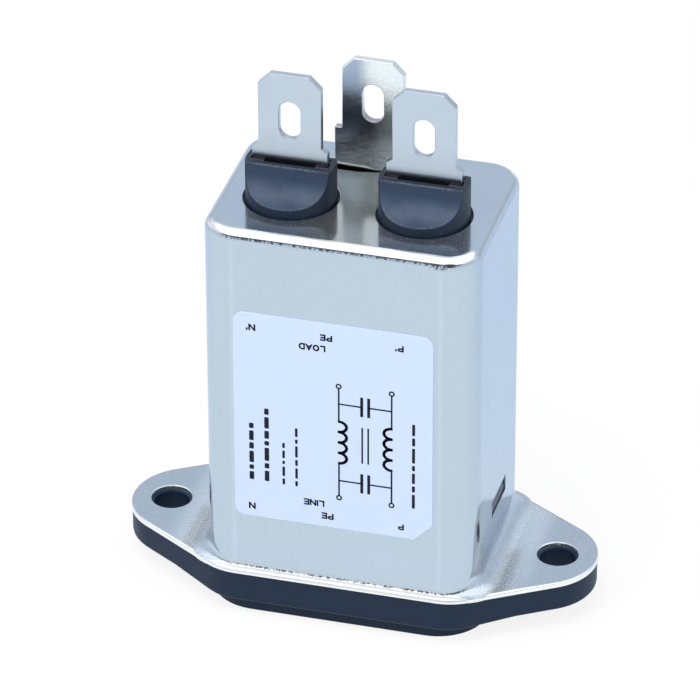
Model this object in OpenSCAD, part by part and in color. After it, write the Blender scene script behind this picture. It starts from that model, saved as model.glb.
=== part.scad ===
// EMI line filter with an appliance inlet: a deep-drawn metal can whose foot is a
// diamond flange, on a black moulded inlet. Three flat blade tabs stand on its top.
// X runs from screw hole to screw hole, the labelled face looks along -Y, and the
// part stands on the rim round its inlet socket, at Z = 0.

/* [Can] */
// Height of the can above the flange
can_h = 38.1; // [37.6:0.5:50]
// Thickness of the drawn sheet
sheet_t = 0.5; // [0.3:0.05:0.6]
// Outside radius of the upright corners
corner_r = 3.4; // [2.5:0.1:4.5]
// Outside radius round the top edge
top_r = 1.1; // [0.7:0.1:2]
// Draw radius at the foot of the front and back walls
foot_r = 0.4; // [0.3:0.1:0.7]
// Draw radius at the foot of the two end walls
end_foot_r = 2; // [1:0.1:2.5]

/* [Flange] */
// Distance between the two screw holes
hole_pitch = 40; // [39:0.5:44]
// Screw hole in the metal flange
flange_hole_d = 4.1; // [3.8:0.1:5]
// Distance between the centres of the two rounded ears
ear_pitch = 36; // [34:0.5:40]
// Radius of the rounded ears
ear_r = 6; // [5:0.1:7]
// Width of the flange in front of the can and behind it
flange_edge = 0.8; // [0.8:0.1:2]
// Length of the straight front and back edges
flange_flat = 20.4; // [18:0.1:22]
// Radius between a straight edge and a sloping edge
flange_bend_r = 6; // [4:0.1:7]

/* [Inlet moulding] */
// Thickness of the moulded plate under the flange
plate_t = 2.8; // [2:0.1:4]
// How far the moulded plate stays inside the metal flange
plate_inset = 0.1; // [0:0.05:0.4]
// Screw hole in the moulded plate
plate_hole_d = 3.5; // [3.2:0.1:3.8]
// How much thicker the plate is between its ears than at the ears
bezel_t = 0.5; // [0.2:0.1:1]
// Half length of that thicker middle, on the face round the rim
bezel_in = 12; // [11:0.5:13]
// Half length of it where it has run out into the ears
bezel_out = 17.5; // [16:0.5:17.5]
// Height of the raised rim round the socket
rim_h = 2.1; // [1.5:0.1:3]
// Width of the raised rim
rim_w = 28.3; // [27.6:0.1:29.5]
// Depth of the raised rim
rim_d = 19.6; // [19.2:0.1:20.4]
// Corner radius of the raised rim
rim_r = 5.2; // [4:0.1:5.6]
// Thickness of the two end walls of the socket housing
end_wall = 0.9; // [0.7:0.1:2]
// Thickness of its front and back walls
long_wall = 1.25; // [1.1:0.05:1.5]
// Clearance between the housing and the inside of the can
housing_gap = 0.2; // [0.1:0.05:0.3]
// Thickness of the floor that holds the pins
floor_t = 2; // [1.5:0.1:3]
// Height of the posts that carry the circuit board
post_h = 2.4; // [2:0.1:4]
// Diameter of those posts
post_d = 2.4; // [1.8:0.1:3]

/* [Socket] */
// Width of the socket, along X
socket_w = 24.4; // [24:0.1:24.8]
// Depth of the socket, along Y
socket_d = 16.4; // [16:0.1:16.8]
// How deep the socket goes
socket_h = 16.5; // [15:0.5:20]
// Cut corners on the earth side of the socket
socket_cut = 4.6; // [3.5:0.1:5]
// Distance between the line and neutral pins
pin_pitch = 14; // [13.5:0.1:14.5]
// Distance from the row of line and neutral pins to the earth pin
pin_offset = 4; // [3.6:0.1:4.4]
// Width of a pin, along Y
pin_w = 4; // [3.6:0.1:4.2]
// Thickness of a pin, along X
pin_t = 2; // [1.6:0.1:2.2]
// How far the line and neutral pins end inside the mouth
pin_recess = 4.5; // [3:0.5:6]
// How far the earth pin ends inside the mouth
earth_recess = 3; // [1.5:0.5:4]
// Width of the soldered tail of a pin
tail_w = 2.2; // [1.6:0.1:2.6]
// Thickness of the soldered tail of a pin
tail_t = 1; // [0.8:0.1:1.2]
// How far the line and neutral tails come out above the board
tail_out = 0.9; // [0.6:0.1:1.2]

/* [Latch windows] */
// Width of a latch window in an end wall
window_w = 5.5; // [4:0.1:7]
// Height of a latch window
window_h = 1.8; // [1.2:0.1:2.6]
// Height of its lower edge above the flange
window_up = 4.65; // [3.5:0.05:6]
// Where the windows lie behind the middle
window_y = 0.4; // [0:0.1:0.8]
// Clearance round the latch nose in its window
latch_gap = 0.15; // [0.1:0.05:0.3]

/* [Load terminals] */
// Distance between the line and neutral tabs
tab_pitch = 13.3; // [12.6:0.1:14]
// Where their row lies in front of the middle
tab_row = 1.95; // [1:0.05:2.5]
// Width of a blade
tab_w = 6.3; // [5.5:0.1:6.4]
// Thickness of a blade
tab_t = 0.8; // [0.5:0.05:0.9]
// Height of the blade tips above the can
tab_h = 13.4; // [12:0.1:16]
// Cut corners of a blade tip
tip_cut = 1.2; // [0.8:0.1:1.6]
// Width of the hole in a blade
eye_w = 2.15; // [1.5:0.05:2.6]
// Length of the hole in a blade
eye_h = 4.05; // [3:0.05:5]
// Middle of that hole below the tip
eye_down = 4.9; // [4:0.1:6]
// Width of the shoulder below a blade
shoulder_w = 7.55; // [7:0.05:7.6]
// Height of the shoulder's upper end above the bushing
shoulder_h = 1.75; // [1.4:0.05:2.6]
// Height of the slope from the blade to the shoulder
shoulder_slope = 0.45; // [0.3:0.05:1]
// Width of the stem that goes down through the bushing
stem_w = 5; // [4:0.1:5.4]
// How far the stem comes out below the bushing
stem_out = 2.2; // [2:0.1:3]

/* [Bushings] */
// Diameter of an insulating bushing
bushing_d = 8.9; // [8.7:0.05:9.2]
// Clearance round a bushing in the can's top
bushing_gap = 0.3; // [0.15:0.05:0.4]
// Height of a bushing above the can
bushing_h = 4; // [3.6:0.1:5]
// Thickness of the ridge that is left between its two hollows
ridge_t = 3; // [2.6:0.1:3.2]
// Radius of the hollows in its front and back
hollow_r = 3.1; // [2.6:0.05:3.3]
// Clearance at each end of the shoulder in its pocket
pocket_end_gap = 0.1; // [0.05:0.05:0.2]
// Clearance on each side of the blade in its pocket
pocket_side_gap = 0.5; // [0.15:0.05:0.55]
// Depth of the pocket
pocket_h = 1.6; // [1.2:0.1:2]
// Depth of the small steps at the ends of the pocket
step_h = 0.1; // [0.1:0.1:0.8]
// Diameter of the collar inside the can
collar_d = 10.4; // [9.8:0.1:11]
// Thickness of the collar inside the can
collar_t = 1.4; // [1:0.1:2]
// How far the bushing goes down below its collar
nose_h = 0.8; // [0.4:0.1:1.4]

/* [Earth terminal] */
// Where the earth tab stands behind the middle
earth_row = 5.25; // [5:0.05:5.3]
// Where the earth tab stands to the left of the middle
earth_side = 0.3; // [0:0.05:0.3]
// Small turn of the earth tab about its own upright line, in degrees
earth_turn = -1.5; // [-5:0.5:5]
// Height of its tip above the can
earth_h = 12.1; // [11:0.1:15]
// Width of its lower, wide part
earth_foot_w = 7.8; // [7:0.1:8]
// Height of the wide part above the can
earth_step_h = 4.3; // [3:0.1:5]
// Middle of its hole below its tip
earth_eye_down = 4.65; // [4:0.05:6]
// Reach of the foot that is welded under the can's top
earth_foot_l = 3.6; // [3:0.1:3.8]
// Clearance round the tab in its slot
earth_gap = 0.3; // [0.2:0.05:0.4]

/* [Label] */
// Bare metal on each side of the label
label_side = 3.8; // [3.6:0.1:6]
// Bare metal above the label
label_down = 8.65; // [4:0.05:12]
// Thickness of the label
label_t = 0.1; // [0.05:0.01:0.2]
// Shift of the label along X
label_x = -0.26; // [-0.4:0.02:0.4]
// Height of its lower edge above the flange
label_up = 6.15; // [4:0.05:8]
// Radius of its rounded corners
label_r = 1.1; // [0.5:0.1:2]
// Cut of its one bevelled corner
label_cut = 1.85; // [1:0.05:3]

/* [Circuit board] */
// Clearance between the circuit board and the sleeve round it
board_gap = 0.35; // [0.2:0.05:0.4]
// Thickness of the circuit board
board_t = 1.2; // [0.8:0.1:1.6]
// Clearance of a lead in its hole in the board
hole_gap = 0.1; // [0.05:0.05:0.2]
// How far leads come out below the board
lead_out = 0.8; // [0.6:0.1:1]
// Clearance between the insulating sleeve and the can
sleeve_gap = 0.2; // [0.1:0.05:0.3]
// Thickness of the insulating sleeve
sleeve_t = 0.25; // [0.15:0.05:0.3]

/* [Choke] */
// Thickness of the ring core, from its inside to its outside
core_band = 2.7; // [2.4:0.1:3]
// Height of the ring core
core_h = 6; // [5:0.1:8]
// Thickness of the choke wire
wire_t = 1; // [0.8:0.05:1]
// Clearance between wire and core
wire_gap = 0.1; // [0.05:0.05:0.15]
// Angle that each of the two windings may fill, in degrees
winding_angle = 150; // [90:5:150]
// Thickness of the plastic wall between the windings
divider_t = 1; // [0.6:0.1:1.2]

/* [Suppression parts] */
// Length of the X capacitor, along Y
xcap_l = 13; // [11:0.1:13]
// Height of the X capacitor
xcap_h = 11; // [8:0.1:12]
// Distance between its leads
xcap_pitch = 10; // [7.5:0.5:10]
// Clearance between neighbouring parts on the board
part_gap = 0.3; // [0.2:0.05:0.3]
// Diameter of a disc capacitor
disc_d = 7; // [6:0.1:7]
// Thickness of a disc capacitor
disc_t = 2.8; // [2:0.1:2.8]
// Distance between the leads of a disc capacitor
disc_lead_pitch = 5; // [4:0.5:5]
// Height of the discs above the board
disc_lift = 0.6; // [0.4:0.1:1]
// Diameter of the resistor
resistor_d = 2.4; // [1.8:0.1:2.6]
// Length of the resistor
resistor_l = 6.2; // [5:0.1:6.2]
// How far its leads run on before they turn down
resistor_lead_l = 1.2; // [0.8:0.1:1.2]
// Diameter of the leads of these parts
lead_d = 0.8; // [0.5:0.05:0.9]
// Diameter of the wires up to the load tabs
wire_d = 1.2; // [0.9:0.05:1.2]
// How far these wires run sideways below the tabs' eyes
wire_drop = 4.7; // [4.4:0.1:5]
// How far they stand in front of the tabs
wire_stand = 2.45; // [2.2:0.05:2.6]
// Width of the earth strap
strap_w = 4; // [3:0.1:4.4]
// Thickness of the earth strap
strap_t = 0.5; // [0.3:0.05:0.6]

/* [Hidden] */
$fn = 64;

// How far a cutter runs past the face it cuts
over = 1;
// How far a fillet is sunk into the walls it joins
sink = 0.2;

// Heights, from the rim up
plate_top = rim_h + plate_t;
flange_top = plate_top + sheet_t;
can_top = flange_top + can_h;
roof = can_top - sheet_t;
housing_top = socket_h + floor_t;
board_z = housing_top + post_h;
board_top = board_z + board_t;
bushing_top = can_top + bushing_h;

// Inside and outside of the can, round the socket housing
can_w = socket_w + 2 * (end_wall + housing_gap + sheet_t);
can_d = socket_d + 2 * (long_wall + housing_gap + sheet_t);
flange_d = can_d + 2 * flange_edge;
bore_w = can_w - 2 * sheet_t;
bore_d = can_d - 2 * sheet_t;
bore_r = corner_r - sheet_t;
housing_w = bore_w - 2 * housing_gap;
housing_d = bore_d - 2 * housing_gap;
housing_r = bore_r - housing_gap;

// Sleeve and circuit board inside the can
sleeve_w = bore_w - 2 * sleeve_gap;
sleeve_d = bore_d - 2 * sleeve_gap;
sleeve_r = bore_r - sleeve_gap;
sleeve_down = 2;
board_w = sleeve_w - 2 * (sleeve_t + board_gap);
board_d = sleeve_d - 2 * (sleeve_t + board_gap);
board_r = sleeve_r - sleeve_t - board_gap;

// Posts under the board, clear of the pins and leads
post_in = 1.5;
post_back = 1.6;
post_front = -board_d / 2 + 2.45;
post_mid = 2.2;
post_places = [[-board_w / 2 + post_in, post_back], [board_w / 2 - post_in, post_back],
    [-pin_pitch / 2, post_front], [post_mid, post_front]];
// Latch noses lie just inside the outer face of the can
latch_in = 0.15;
latch_root = 1;

// Load terminals
tab_x = tab_pitch / 2;
pocket_w = shoulder_w + 2 * pocket_end_gap;
pocket_t = tab_t + 2 * pocket_side_gap;
shoulder_z = bushing_top - pocket_h;
bushing_low = roof - collar_t - nose_h;
stem_end = bushing_low - stem_out;
stem_gap = 0.05;
eye_z = stem_end + 1.2;

// Earth terminal
earth_slot_t = tab_t + (earth_foot_w + 2 * earth_gap) * abs(sin(earth_turn)) + earth_gap;

// Row of parts on the board, from the left wall to the right: choke, discs, neutral
// pin tail and X capacitor
solder_w = 0.35;
room_x = sleeve_w / 2 - sleeve_t - part_gap;
tail_left = pin_pitch / 2 - tail_t / 2 - solder_w - part_gap;
tail_right = pin_pitch / 2 + tail_t / 2 + solder_w + part_gap;
disc_x = tail_left - disc_t / 2;
winding_r = (tail_left - disc_t - part_gap + room_x) / 2;
choke_x = room_x - winding_r;
xcap_w = room_x - tail_right;
xcap_x = tail_right + xcap_w / 2;

// Choke on its carrier
carrier_t = 0.8;
carrier_gap = 0.2;
carrier_z = board_top + tail_out + carrier_gap;
winding_z = carrier_z + carrier_t;
core_z = winding_z + wire_t + wire_gap;
core_top_r = winding_r - wire_t - wire_gap;
core_bore_r = core_top_r - core_band;
core_mid = (core_top_r + core_bore_r) / 2;
choke_top = core_z + core_h + wire_gap + wire_t;
turn_spread = 1.03;
turn_step = 2 * asin(turn_spread * wire_t / 2 / (core_bore_r - wire_gap - wire_t / 2));
turns = floor(winding_angle / turn_step);

// Places along Y
xcap_in = 0.85;
xcap_y = board_d / 2 - xcap_in - xcap_l / 2;
disc_pitch = disc_d + 0.5;
disc_mid = 0.85;
resistor_in = 0.35;
resistor_x = 4.2;
resistor_y = -board_d / 2 + resistor_in + resistor_d / 2;
resistor_span = resistor_l + 2 * resistor_lead_l;
wire_in = 1.3;
wire_x = board_w / 2 - wire_in;
wire_y = -board_d / 2 + wire_in - 0.05;
wire_turn_z = eye_z - wire_drop;
wire_front = tab_row + wire_stand;

// Earth strap
strap_up = 0.8;
strap_in = 0.2;
strap_gap = 0.5;
strap_z = housing_top + strap_up;
strap_back = board_d / 2 - strap_in;
strap_top = roof - tab_t;

// Outline helpers -----------------------------------------------------------

// Rectangle with true round corners
module round_rect(w, d, r) {
    square([w - 2 * r, d], center = true);
    square([w, d - 2 * r], center = true);
    for (x = [-1, 1], y = [-1, 1])
        translate([x * (w / 2 - r), y * (d / 2 - r)])
            circle(r);
}

// Rectangle with cut corners
module cut_rect(w, d, cut) {
    half = [[w / 2 - cut, d / 2], [w / 2, d / 2 - cut], [w / 2, cut - d / 2], [w / 2 - cut, -d / 2]];
    polygon(both_sides(half));
}

// Unit vector at an angle
function unit(a) = [cos(a), sin(a)];

// Diamond outline: two ears and a straight front and back, joined by tangent lines
module flange_outline(inset) {
    re = ear_r - inset;
    rb = flange_bend_r - inset;
    ear = [ear_pitch / 2, 0];
    bend = [flange_flat / 2, flange_d / 2 - flange_bend_r];
    run = bend - ear;
    n = unit(atan2(run.y, run.x) - acos((re - rb) / norm(run)));
    quarter = [ear + re * n, bend + rb * n, bend + [0, rb]];
    polygon([
        for (p = quarter) p,
        for (i = [2:-1:0]) [-quarter[i].x, quarter[i].y],
        for (p = quarter) [-p.x, -p.y],
        for (i = [2:-1:0]) [quarter[i].x, -quarter[i].y]
    ]);
    for (x = [-1, 1]) {
        translate([x * ear.x, 0])
            circle(re);
        for (y = [-1, 1])
            translate([x * bend.x, y * bend.y])
                circle(rb);
    }
}

// Half of a block's side view, with its top edge rounded
module edge_profile(half, h, r) {
    square([half - r, h]);
    square([half, h - r]);
    translate([half - r, h - r])
        circle(r);
}

// Full side view of the same block
module arch_profile(w, h, r) {
    edge_profile(w / 2, h, r);
    mirror([1, 0])
        edge_profile(w / 2, h, r);
}

// Block on Z = 0 with round upright corners and a rounded top edge
module drawn_block(w, d, h, r, edge) {
    rotate([90, 0, 0])
        linear_extrude(d - 2 * r, center = true)
            arch_profile(w, h, edge);
    rotate([90, 0, 90])
        linear_extrude(w - 2 * r, center = true)
            arch_profile(d, h, edge);
    for (x = [-1, 1], y = [-1, 1])
        translate([x * (w / 2 - r), y * (d / 2 - r), 0])
            rotate_extrude()
                edge_profile(r, h, edge);
}

// Hollow corner between a wall at X = 0 and the flange at Y = 0; t moves both
// faces inwards by one sheet, which gives the same bend seen from below
module bend_profile(r, t) {
    difference() {
        translate([-t - sink, -t - sink])
            square(r + t + sink);
        translate([r, r])
            circle(r + t);
    }
}

// The bend all the way round the foot of the can
module foot_bend(r, t) {
    for (side = [-1, 1]) {
        rotate(side * 90)
            translate([can_d / 2, 0, 0])
                rotate([90, 0, 0])
                    linear_extrude(can_w - 2 * corner_r, center = true)
                        bend_profile(r, t);
        rotate(side > 0 ? 0 : 180)
            translate([can_w / 2, 0, 0])
                rotate([90, 0, 0])
                    linear_extrude(can_d - 2 * corner_r, center = true)
                        bend_profile(r, t);
    }
    for (quarter = [0:3]) {
        sx = quarter == 0 || quarter == 3 ? 1 : -1;
        sy = quarter < 2 ? 1 : -1;
        translate([sx * (can_w / 2 - corner_r), sy * (can_d / 2 - corner_r), 0])
            rotate(90 * quarter)
                rotate_extrude(angle = 90)
                    translate([corner_r, 0])
                        bend_profile(r, t);
    }
}

// Wider bend at the foot of one end wall, with round ends
module end_bend(t) {
    half = can_d / 2 - corner_r;
    translate([can_w / 2, 0, 0])
        rotate([90, 0, 0])
            linear_extrude(2 * half, center = true)
                bend_profile(end_foot_r, t);
}

module end_bend_tips() {
    half = can_d / 2 - corner_r;
    for (y = [-1, 1])
        translate([can_w / 2, y * half, -sink])
            rotate(y > 0 ? 0 : -90)
                rotate_extrude(angle = 90)
                    difference() {
                        square([end_foot_r, end_foot_r + sink]);
                        translate([end_foot_r, end_foot_r + sink])
                            circle(end_foot_r);
                    }
}

// Can -----------------------------------------------------------------------

module can_solid() {
    translate([0, 0, plate_top])
        linear_extrude(sheet_t)
            flange_outline(0);
    translate([0, 0, plate_top])
        drawn_block(can_w, can_d, can_top - plate_top, corner_r, top_r);
    translate([0, 0, flange_top]) {
        foot_bend(foot_r, 0);
        for (turn = [0, 180])
            rotate(turn) {
                end_bend(0);
                end_bend_tips();
            }
    }
}

module can_hollow() {
    translate([0, 0, plate_top - over])
        drawn_block(bore_w, bore_d, roof - plate_top + over, bore_r, top_r - sheet_t);
    translate([0, 0, flange_top]) {
        foot_bend(foot_r, sheet_t);
        for (turn = [0, 180])
            rotate(turn)
                end_bend(sheet_t);
    }
}

module filter_can() {
    color("silver")
        difference() {
            can_solid();
            can_hollow();
            for (x = [-1, 1])
                translate([x * hole_pitch / 2, 0, plate_top - over])
                    cylinder(d = flange_hole_d, h = sheet_t + 2 * over);
            for (x = [-1, 1])
                translate([x * tab_x, -tab_row, roof - over])
                    cylinder(d = bushing_d + 2 * bushing_gap, h = sheet_t + 2 * over);
            translate([-earth_side, earth_row, roof])
                cube([earth_foot_w + 2 * earth_gap, earth_slot_t, 4 * over], center = true);
            translate([-can_w / 2 - over, window_y - window_w / 2, flange_top + window_up])
                cube([can_w + 2 * over, window_w, window_h]);
        }
}

// Inlet moulding ------------------------------------------------------------

// Socket mouth, with its two cut corners on the earth side
module socket_outline() {
    w = socket_w / 2;
    d = socket_d / 2;
    polygon([[-w, -d], [w, -d], [w, d - socket_cut], [w - socket_cut, d],
        [-w + socket_cut, d], [-w, d - socket_cut]]);
}

// Middle of each pin: line, neutral and earth
function pin_place(which) =
    which == "line" ? [-pin_pitch / 2, -pin_offset / 2] :
    which == "neutral" ? [pin_pitch / 2, -pin_offset / 2] : [0, pin_offset / 2];

// Thicker middle of the moulded plate, which slopes off into the ears
module bezel() {
    side = [[bezel_in, rim_h - bezel_t], [bezel_out, rim_h], [bezel_out, rim_h + sink]];
    intersection() {
        translate([0, 0, rim_h - bezel_t])
            linear_extrude(bezel_t + sink)
                flange_outline(plate_inset);
        rotate([90, 0, 0])
            linear_extrude(flange_d, center = true)
                polygon(both_sides(side));
    }
}

// Snap nose that stands in a window of the can, on the left side (-1) or the right (1)
module latch_nose(side) {
    low = flange_top + window_up + latch_gap;
    high = low + window_h - 2 * latch_gap;
    root = housing_w / 2 - latch_root;
    tip = can_w / 2 - latch_in;
    translate([0, window_y, 0])
        rotate([90, 0, 0])
            linear_extrude(window_w - 2 * latch_gap, center = true)
                polygon([[side * root, low], [side * tip, low], [side * tip, low + (high - low) / 3],
                    [side * (housing_w / 2 + housing_gap), high], [side * root, high]]);
}

module inlet_body() {
    color([0.14, 0.17, 0.22])
        difference() {
            union() {
                linear_extrude(rim_h)
                    round_rect(rim_w, rim_d, rim_r);
                translate([0, 0, rim_h])
                    linear_extrude(plate_t)
                        flange_outline(plate_inset);
                translate([0, 0, rim_h])
                    linear_extrude(housing_top - rim_h)
                        round_rect(housing_w, housing_d, housing_r);
                for (p = post_places)
                    translate([p.x, p.y, housing_top])
                        cylinder(d = post_d, h = post_h);
                bezel();
                latch_nose(-1);
                latch_nose(1);
            }
            translate([0, 0, -over])
                linear_extrude(socket_h + over)
                    socket_outline();
            for (which = ["line", "neutral", "earth"])
                translate(concat(pin_place(which), socket_h))
                    cube([pin_t, pin_w, 2 * floor_t + over], center = true);
            for (x = [-1, 1])
                translate([x * hole_pitch / 2, 0, -over])
                    cylinder(d = plate_hole_d, h = plate_top + 2 * over);
        }
}

// Flat pin from its bevelled tip to its soldered tail
module inlet_pin(which, tip_z) {
    bevel = pin_t / 3;
    tail_top = which == "earth" ? strap_z + strap_t : board_top + tail_out;
    translate(pin_place(which)) {
        intersection() {
            rotate([90, 0, 0])
                linear_extrude(pin_w, center = true)
                    polygon([[-pin_t / 2 + bevel, tip_z], [pin_t / 2 - bevel, tip_z],
                        [pin_t / 2, tip_z + 2 * bevel], [pin_t / 2, housing_top],
                        [-pin_t / 2, housing_top], [-pin_t / 2, tip_z + 2 * bevel]]);
            rotate([90, 0, 90])
                linear_extrude(pin_t, center = true)
                    polygon([[-pin_w / 2 + bevel, tip_z], [pin_w / 2 - bevel, tip_z],
                        [pin_w / 2, tip_z + 2 * bevel], [pin_w / 2, housing_top],
                        [-pin_w / 2, housing_top], [-pin_w / 2, tip_z + 2 * bevel]]);
        }
        translate([-tail_t / 2, -tail_w / 2, housing_top - sink])
            cube([tail_t, tail_w, tail_top - housing_top + sink]);
    }
}

module line_pin() {
    color("lightgray")
        inlet_pin("line", pin_recess);
}

module neutral_pin() {
    color("lightgray")
        inlet_pin("neutral", pin_recess);
}

module earth_pin() {
    color("lightgray")
        inlet_pin("earth", earth_recess);
}

// Load terminals ------------------------------------------------------------

// Round bushing with a hollow in front and behind and a pocket for the shoulder
module bushing() {
    difference() {
        union() {
            translate([0, 0, bushing_low])
                cylinder(d = bushing_d, h = bushing_top - bushing_low);
            translate([0, 0, roof - collar_t])
                cylinder(d = collar_d, h = collar_t);
        }
        for (y = [-1, 1])
            translate([0, y * (ridge_t / 2 + hollow_r), bushing_top])
                rotate([0, 90, 0])
                    cylinder(r = hollow_r, h = bushing_d + 2 * over, center = true);
        translate([0, 0, bushing_top])
            cube([pocket_w, pocket_t, 2 * step_h], center = true);
        translate([0, 0, bushing_top])
            cube([stem_w + 2 * stem_gap, pocket_t, 2 * pocket_h], center = true);
        translate([0, 0, bushing_top])
            cube([pocket_w, tab_t + 2 * stem_gap, 2 * pocket_h], center = true);
        translate([0, 0, bushing_top])
            cube([stem_w + 2 * stem_gap, tab_t + 2 * stem_gap, 4 * (bushing_top - bushing_low)], center = true);
    }
}

module line_bushing() {
    color([0.16, 0.2, 0.28])
        translate([-tab_x, -tab_row, 0])
            bushing();
}

module neutral_bushing() {
    color([0.16, 0.2, 0.28])
        translate([tab_x, -tab_row, 0])
            bushing();
}

// Long hole with round ends
module eye(w, h) {
    square([w, h - w], center = true);
    for (y = [-1, 1])
        translate([0, y * (h - w) / 2])
            circle(d = w);
}

// Whole outline from the points of its right half, listed from top to bottom
function both_sides(half) = concat(half, [for (i = [len(half) - 1:-1:0]) [-half[i].x, half[i].y]]);

// Front view of a load tab, from its tip to the end of its stem
module load_tab_outline() {
    tip = can_top + tab_h;
    flat_z = bushing_top + shoulder_h - shoulder_slope;
    neck_z = bushing_top + shoulder_h;
    half = [[tab_w / 2 - tip_cut, tip], [tab_w / 2, tip - tip_cut], [tab_w / 2, neck_z],
        [shoulder_w / 2, flat_z], [shoulder_w / 2, shoulder_z], [stem_w / 2, shoulder_z],
        [stem_w / 2, stem_end]];
    difference() {
        polygon(both_sides(half));
        translate([0, tip - eye_down])
            eye(eye_w, eye_h);
        translate([0, eye_z])
            circle(d = wire_d + 2 * hole_gap);
    }
}

module load_tab() {
    rotate([90, 0, 0])
        linear_extrude(tab_t, center = true)
            load_tab_outline();
}

module line_tab() {
    color("gainsboro")
        translate([-tab_x, -tab_row, 0])
            load_tab();
}

module neutral_tab() {
    color("gainsboro")
        translate([tab_x, -tab_row, 0])
            load_tab();
}

// Upright tab whose foot is bent back and welded under the can's top
module earth_tab() {
    tip = can_top + earth_h;
    step_z = can_top + earth_step_h;
    low = roof - tab_t;
    half = [[tab_w / 2 - tip_cut, tip], [tab_w / 2, tip - tip_cut], [tab_w / 2, step_z],
        [earth_foot_w / 2, step_z], [earth_foot_w / 2, low]];
    color("gray")
        translate([-earth_side, earth_row, 0])
            rotate(earth_turn) {
                rotate([90, 0, 0])
                    linear_extrude(tab_t, center = true)
                        difference() {
                            polygon(both_sides(half));
                            translate([0, tip - earth_eye_down])
                                eye(eye_w, eye_h);
                        }
                translate([-earth_foot_w / 2, -tab_t / 2, low])
                    cube([earth_foot_w, earth_foot_l, tab_t]);
            }
}

// Label ---------------------------------------------------------------------

module label() {
    label_w = can_w - 2 * label_side;
    label_h = can_h - label_up - label_down;
    w = label_w / 2;
    color("aliceblue")
        translate([label_x, -can_d / 2, flange_top + label_up])
            rotate([90, 0, 0])
                linear_extrude(label_t)
                    difference() {
                        translate([0, label_h / 2])
                            round_rect(label_w, label_h, label_r);
                        polygon([[w + over, -over], [w - label_cut - over, -over], [w + over, label_cut + over]]);
                    }
}

// Inside the can ------------------------------------------------------------

module insulating_sleeve() {
    color("wheat")
        translate([0, 0, housing_top])
            linear_extrude(roof - sleeve_down - housing_top)
                difference() {
                    round_rect(sleeve_w, sleeve_d, sleeve_r);
                    round_rect(sleeve_w - 2 * sleeve_t, sleeve_d - 2 * sleeve_t, sleeve_r - sleeve_t);
                }
}

// Places of round leads in the board: [x, y, lead diameter]
function xcap_leads() = [for (y = [-1, 1]) [xcap_x, xcap_y + y * xcap_pitch / 2, lead_d]];
function disc_leads(side) = [for (y = [-1, 1])
    [disc_x, disc_mid + side * disc_pitch / 2 + y * disc_lead_pitch / 2, lead_d]];
function resistor_leads() = [for (x = [-1, 1]) [resistor_x + x * resistor_span / 2, resistor_y, lead_d]];
function load_wires() = [for (x = [-1, 1]) [x * wire_x, wire_y, wire_d]];
function all_leads() = concat(xcap_leads(), disc_leads(-1), disc_leads(1), resistor_leads(), load_wires());

module circuit_board() {
    color("darkgreen")
        difference() {
            translate([0, 0, board_z])
                linear_extrude(board_t)
                    round_rect(board_w, board_d, board_r);
            for (p = all_leads())
                translate([p.x, p.y, board_z - over])
                    cylinder(d = p.z + 2 * hole_gap, h = board_t + 2 * over);
            for (which = ["line", "neutral"])
                translate(concat(pin_place(which), board_z))
                    cube([tail_t + 2 * hole_gap, tail_w + 2 * hole_gap, 4 * board_t], center = true);
            translate([-strap_w / 2 - strap_gap, strap_back - strap_t - strap_gap, board_z - over])
                cube([strap_w + 2 * strap_gap, board_d, board_t + 2 * over]);
        }
}

// Straight round leads that reach from a part down through the board
module leads(list, top) {
    for (p = list)
        translate([p.x, p.y, board_z - lead_out])
            cylinder(d = p.z, h = top - board_z + lead_out);
}

module choke_core() {
    edge = 0.6;
    color("dimgray")
        translate([-choke_x, 0, core_z])
            rotate_extrude()
                translate([core_mid, core_h / 2])
                    round_rect(core_band, core_h, edge);
}

// Carrier plate on four feet, with a wall that keeps the two windings apart
module choke_divider() {
    foot = 1.6;
    ring = winding_r - foot;
    color("ivory")
        translate([-choke_x, 0, 0])
            difference() {
                union() {
                    translate([0, 0, carrier_z])
                        cylinder(r = winding_r, h = carrier_t);
                    for (a = [45:90:315])
                        translate(concat(ring * unit(a), board_top))
                            cylinder(d = foot, h = carrier_z - board_top + sink);
                    translate([-core_bore_r + wire_gap, -divider_t / 2, winding_z - sink])
                        cube([2 * (core_bore_r - wire_gap), divider_t, choke_top - winding_z + sink]);
                }
                translate([0, 0, board_top])
                    cylinder(r = 1, h = carrier_t + over, $fn = 32);
            }
}

// One rectangular turn of wire round the core's section
module turn_of_wire() {
    w = core_band + 2 * wire_gap;
    h = core_h + 2 * wire_gap;
    translate([core_mid, 0, core_z + core_h / 2])
        rotate([90, 0, 0])
            linear_extrude(wire_t, center = true)
                difference() {
                    cut_rect(w + 2 * wire_t, h + 2 * wire_t, wire_t / 2);
                    square([w, h], center = true);
                }
}

module winding(side) {
    translate([-choke_x, 0, 0])
        for (i = [0:turns - 1])
            rotate(side * 90 + (i - (turns - 1) / 2) * turn_step)
                turn_of_wire();
}

module line_winding() {
    color("peru")
        winding(1);
}

module neutral_winding() {
    color("peru")
        winding(-1);
}

module x_capacitor() {
    edge = 0.4;
    color("goldenrod") {
        translate([xcap_x, xcap_y, board_top])
            linear_extrude(xcap_h)
                round_rect(xcap_w, xcap_l, edge);
        leads(xcap_leads(), board_top + sink);
    }
}

// Disc standing on two leads
module disc_capacitor(side) {
    middle = disc_mid + side * disc_pitch / 2;
    color("royalblue") {
        translate([disc_x, middle, board_top + disc_lift + disc_d / 2])
            rotate([0, 90, 0])
                translate([0, 0, -disc_t / 2])
                    rotate_extrude() {
                        square([disc_d / 2 - disc_t / 2, disc_t]);
                        translate([disc_d / 2 - disc_t / 2, disc_t / 2])
                            intersection() {
                                circle(d = disc_t);
                                translate([0, -disc_t])
                                    square(2 * disc_t);
                            }
                    }
        leads(disc_leads(side), board_top + disc_lift + disc_d / 2);
    }
}

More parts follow.
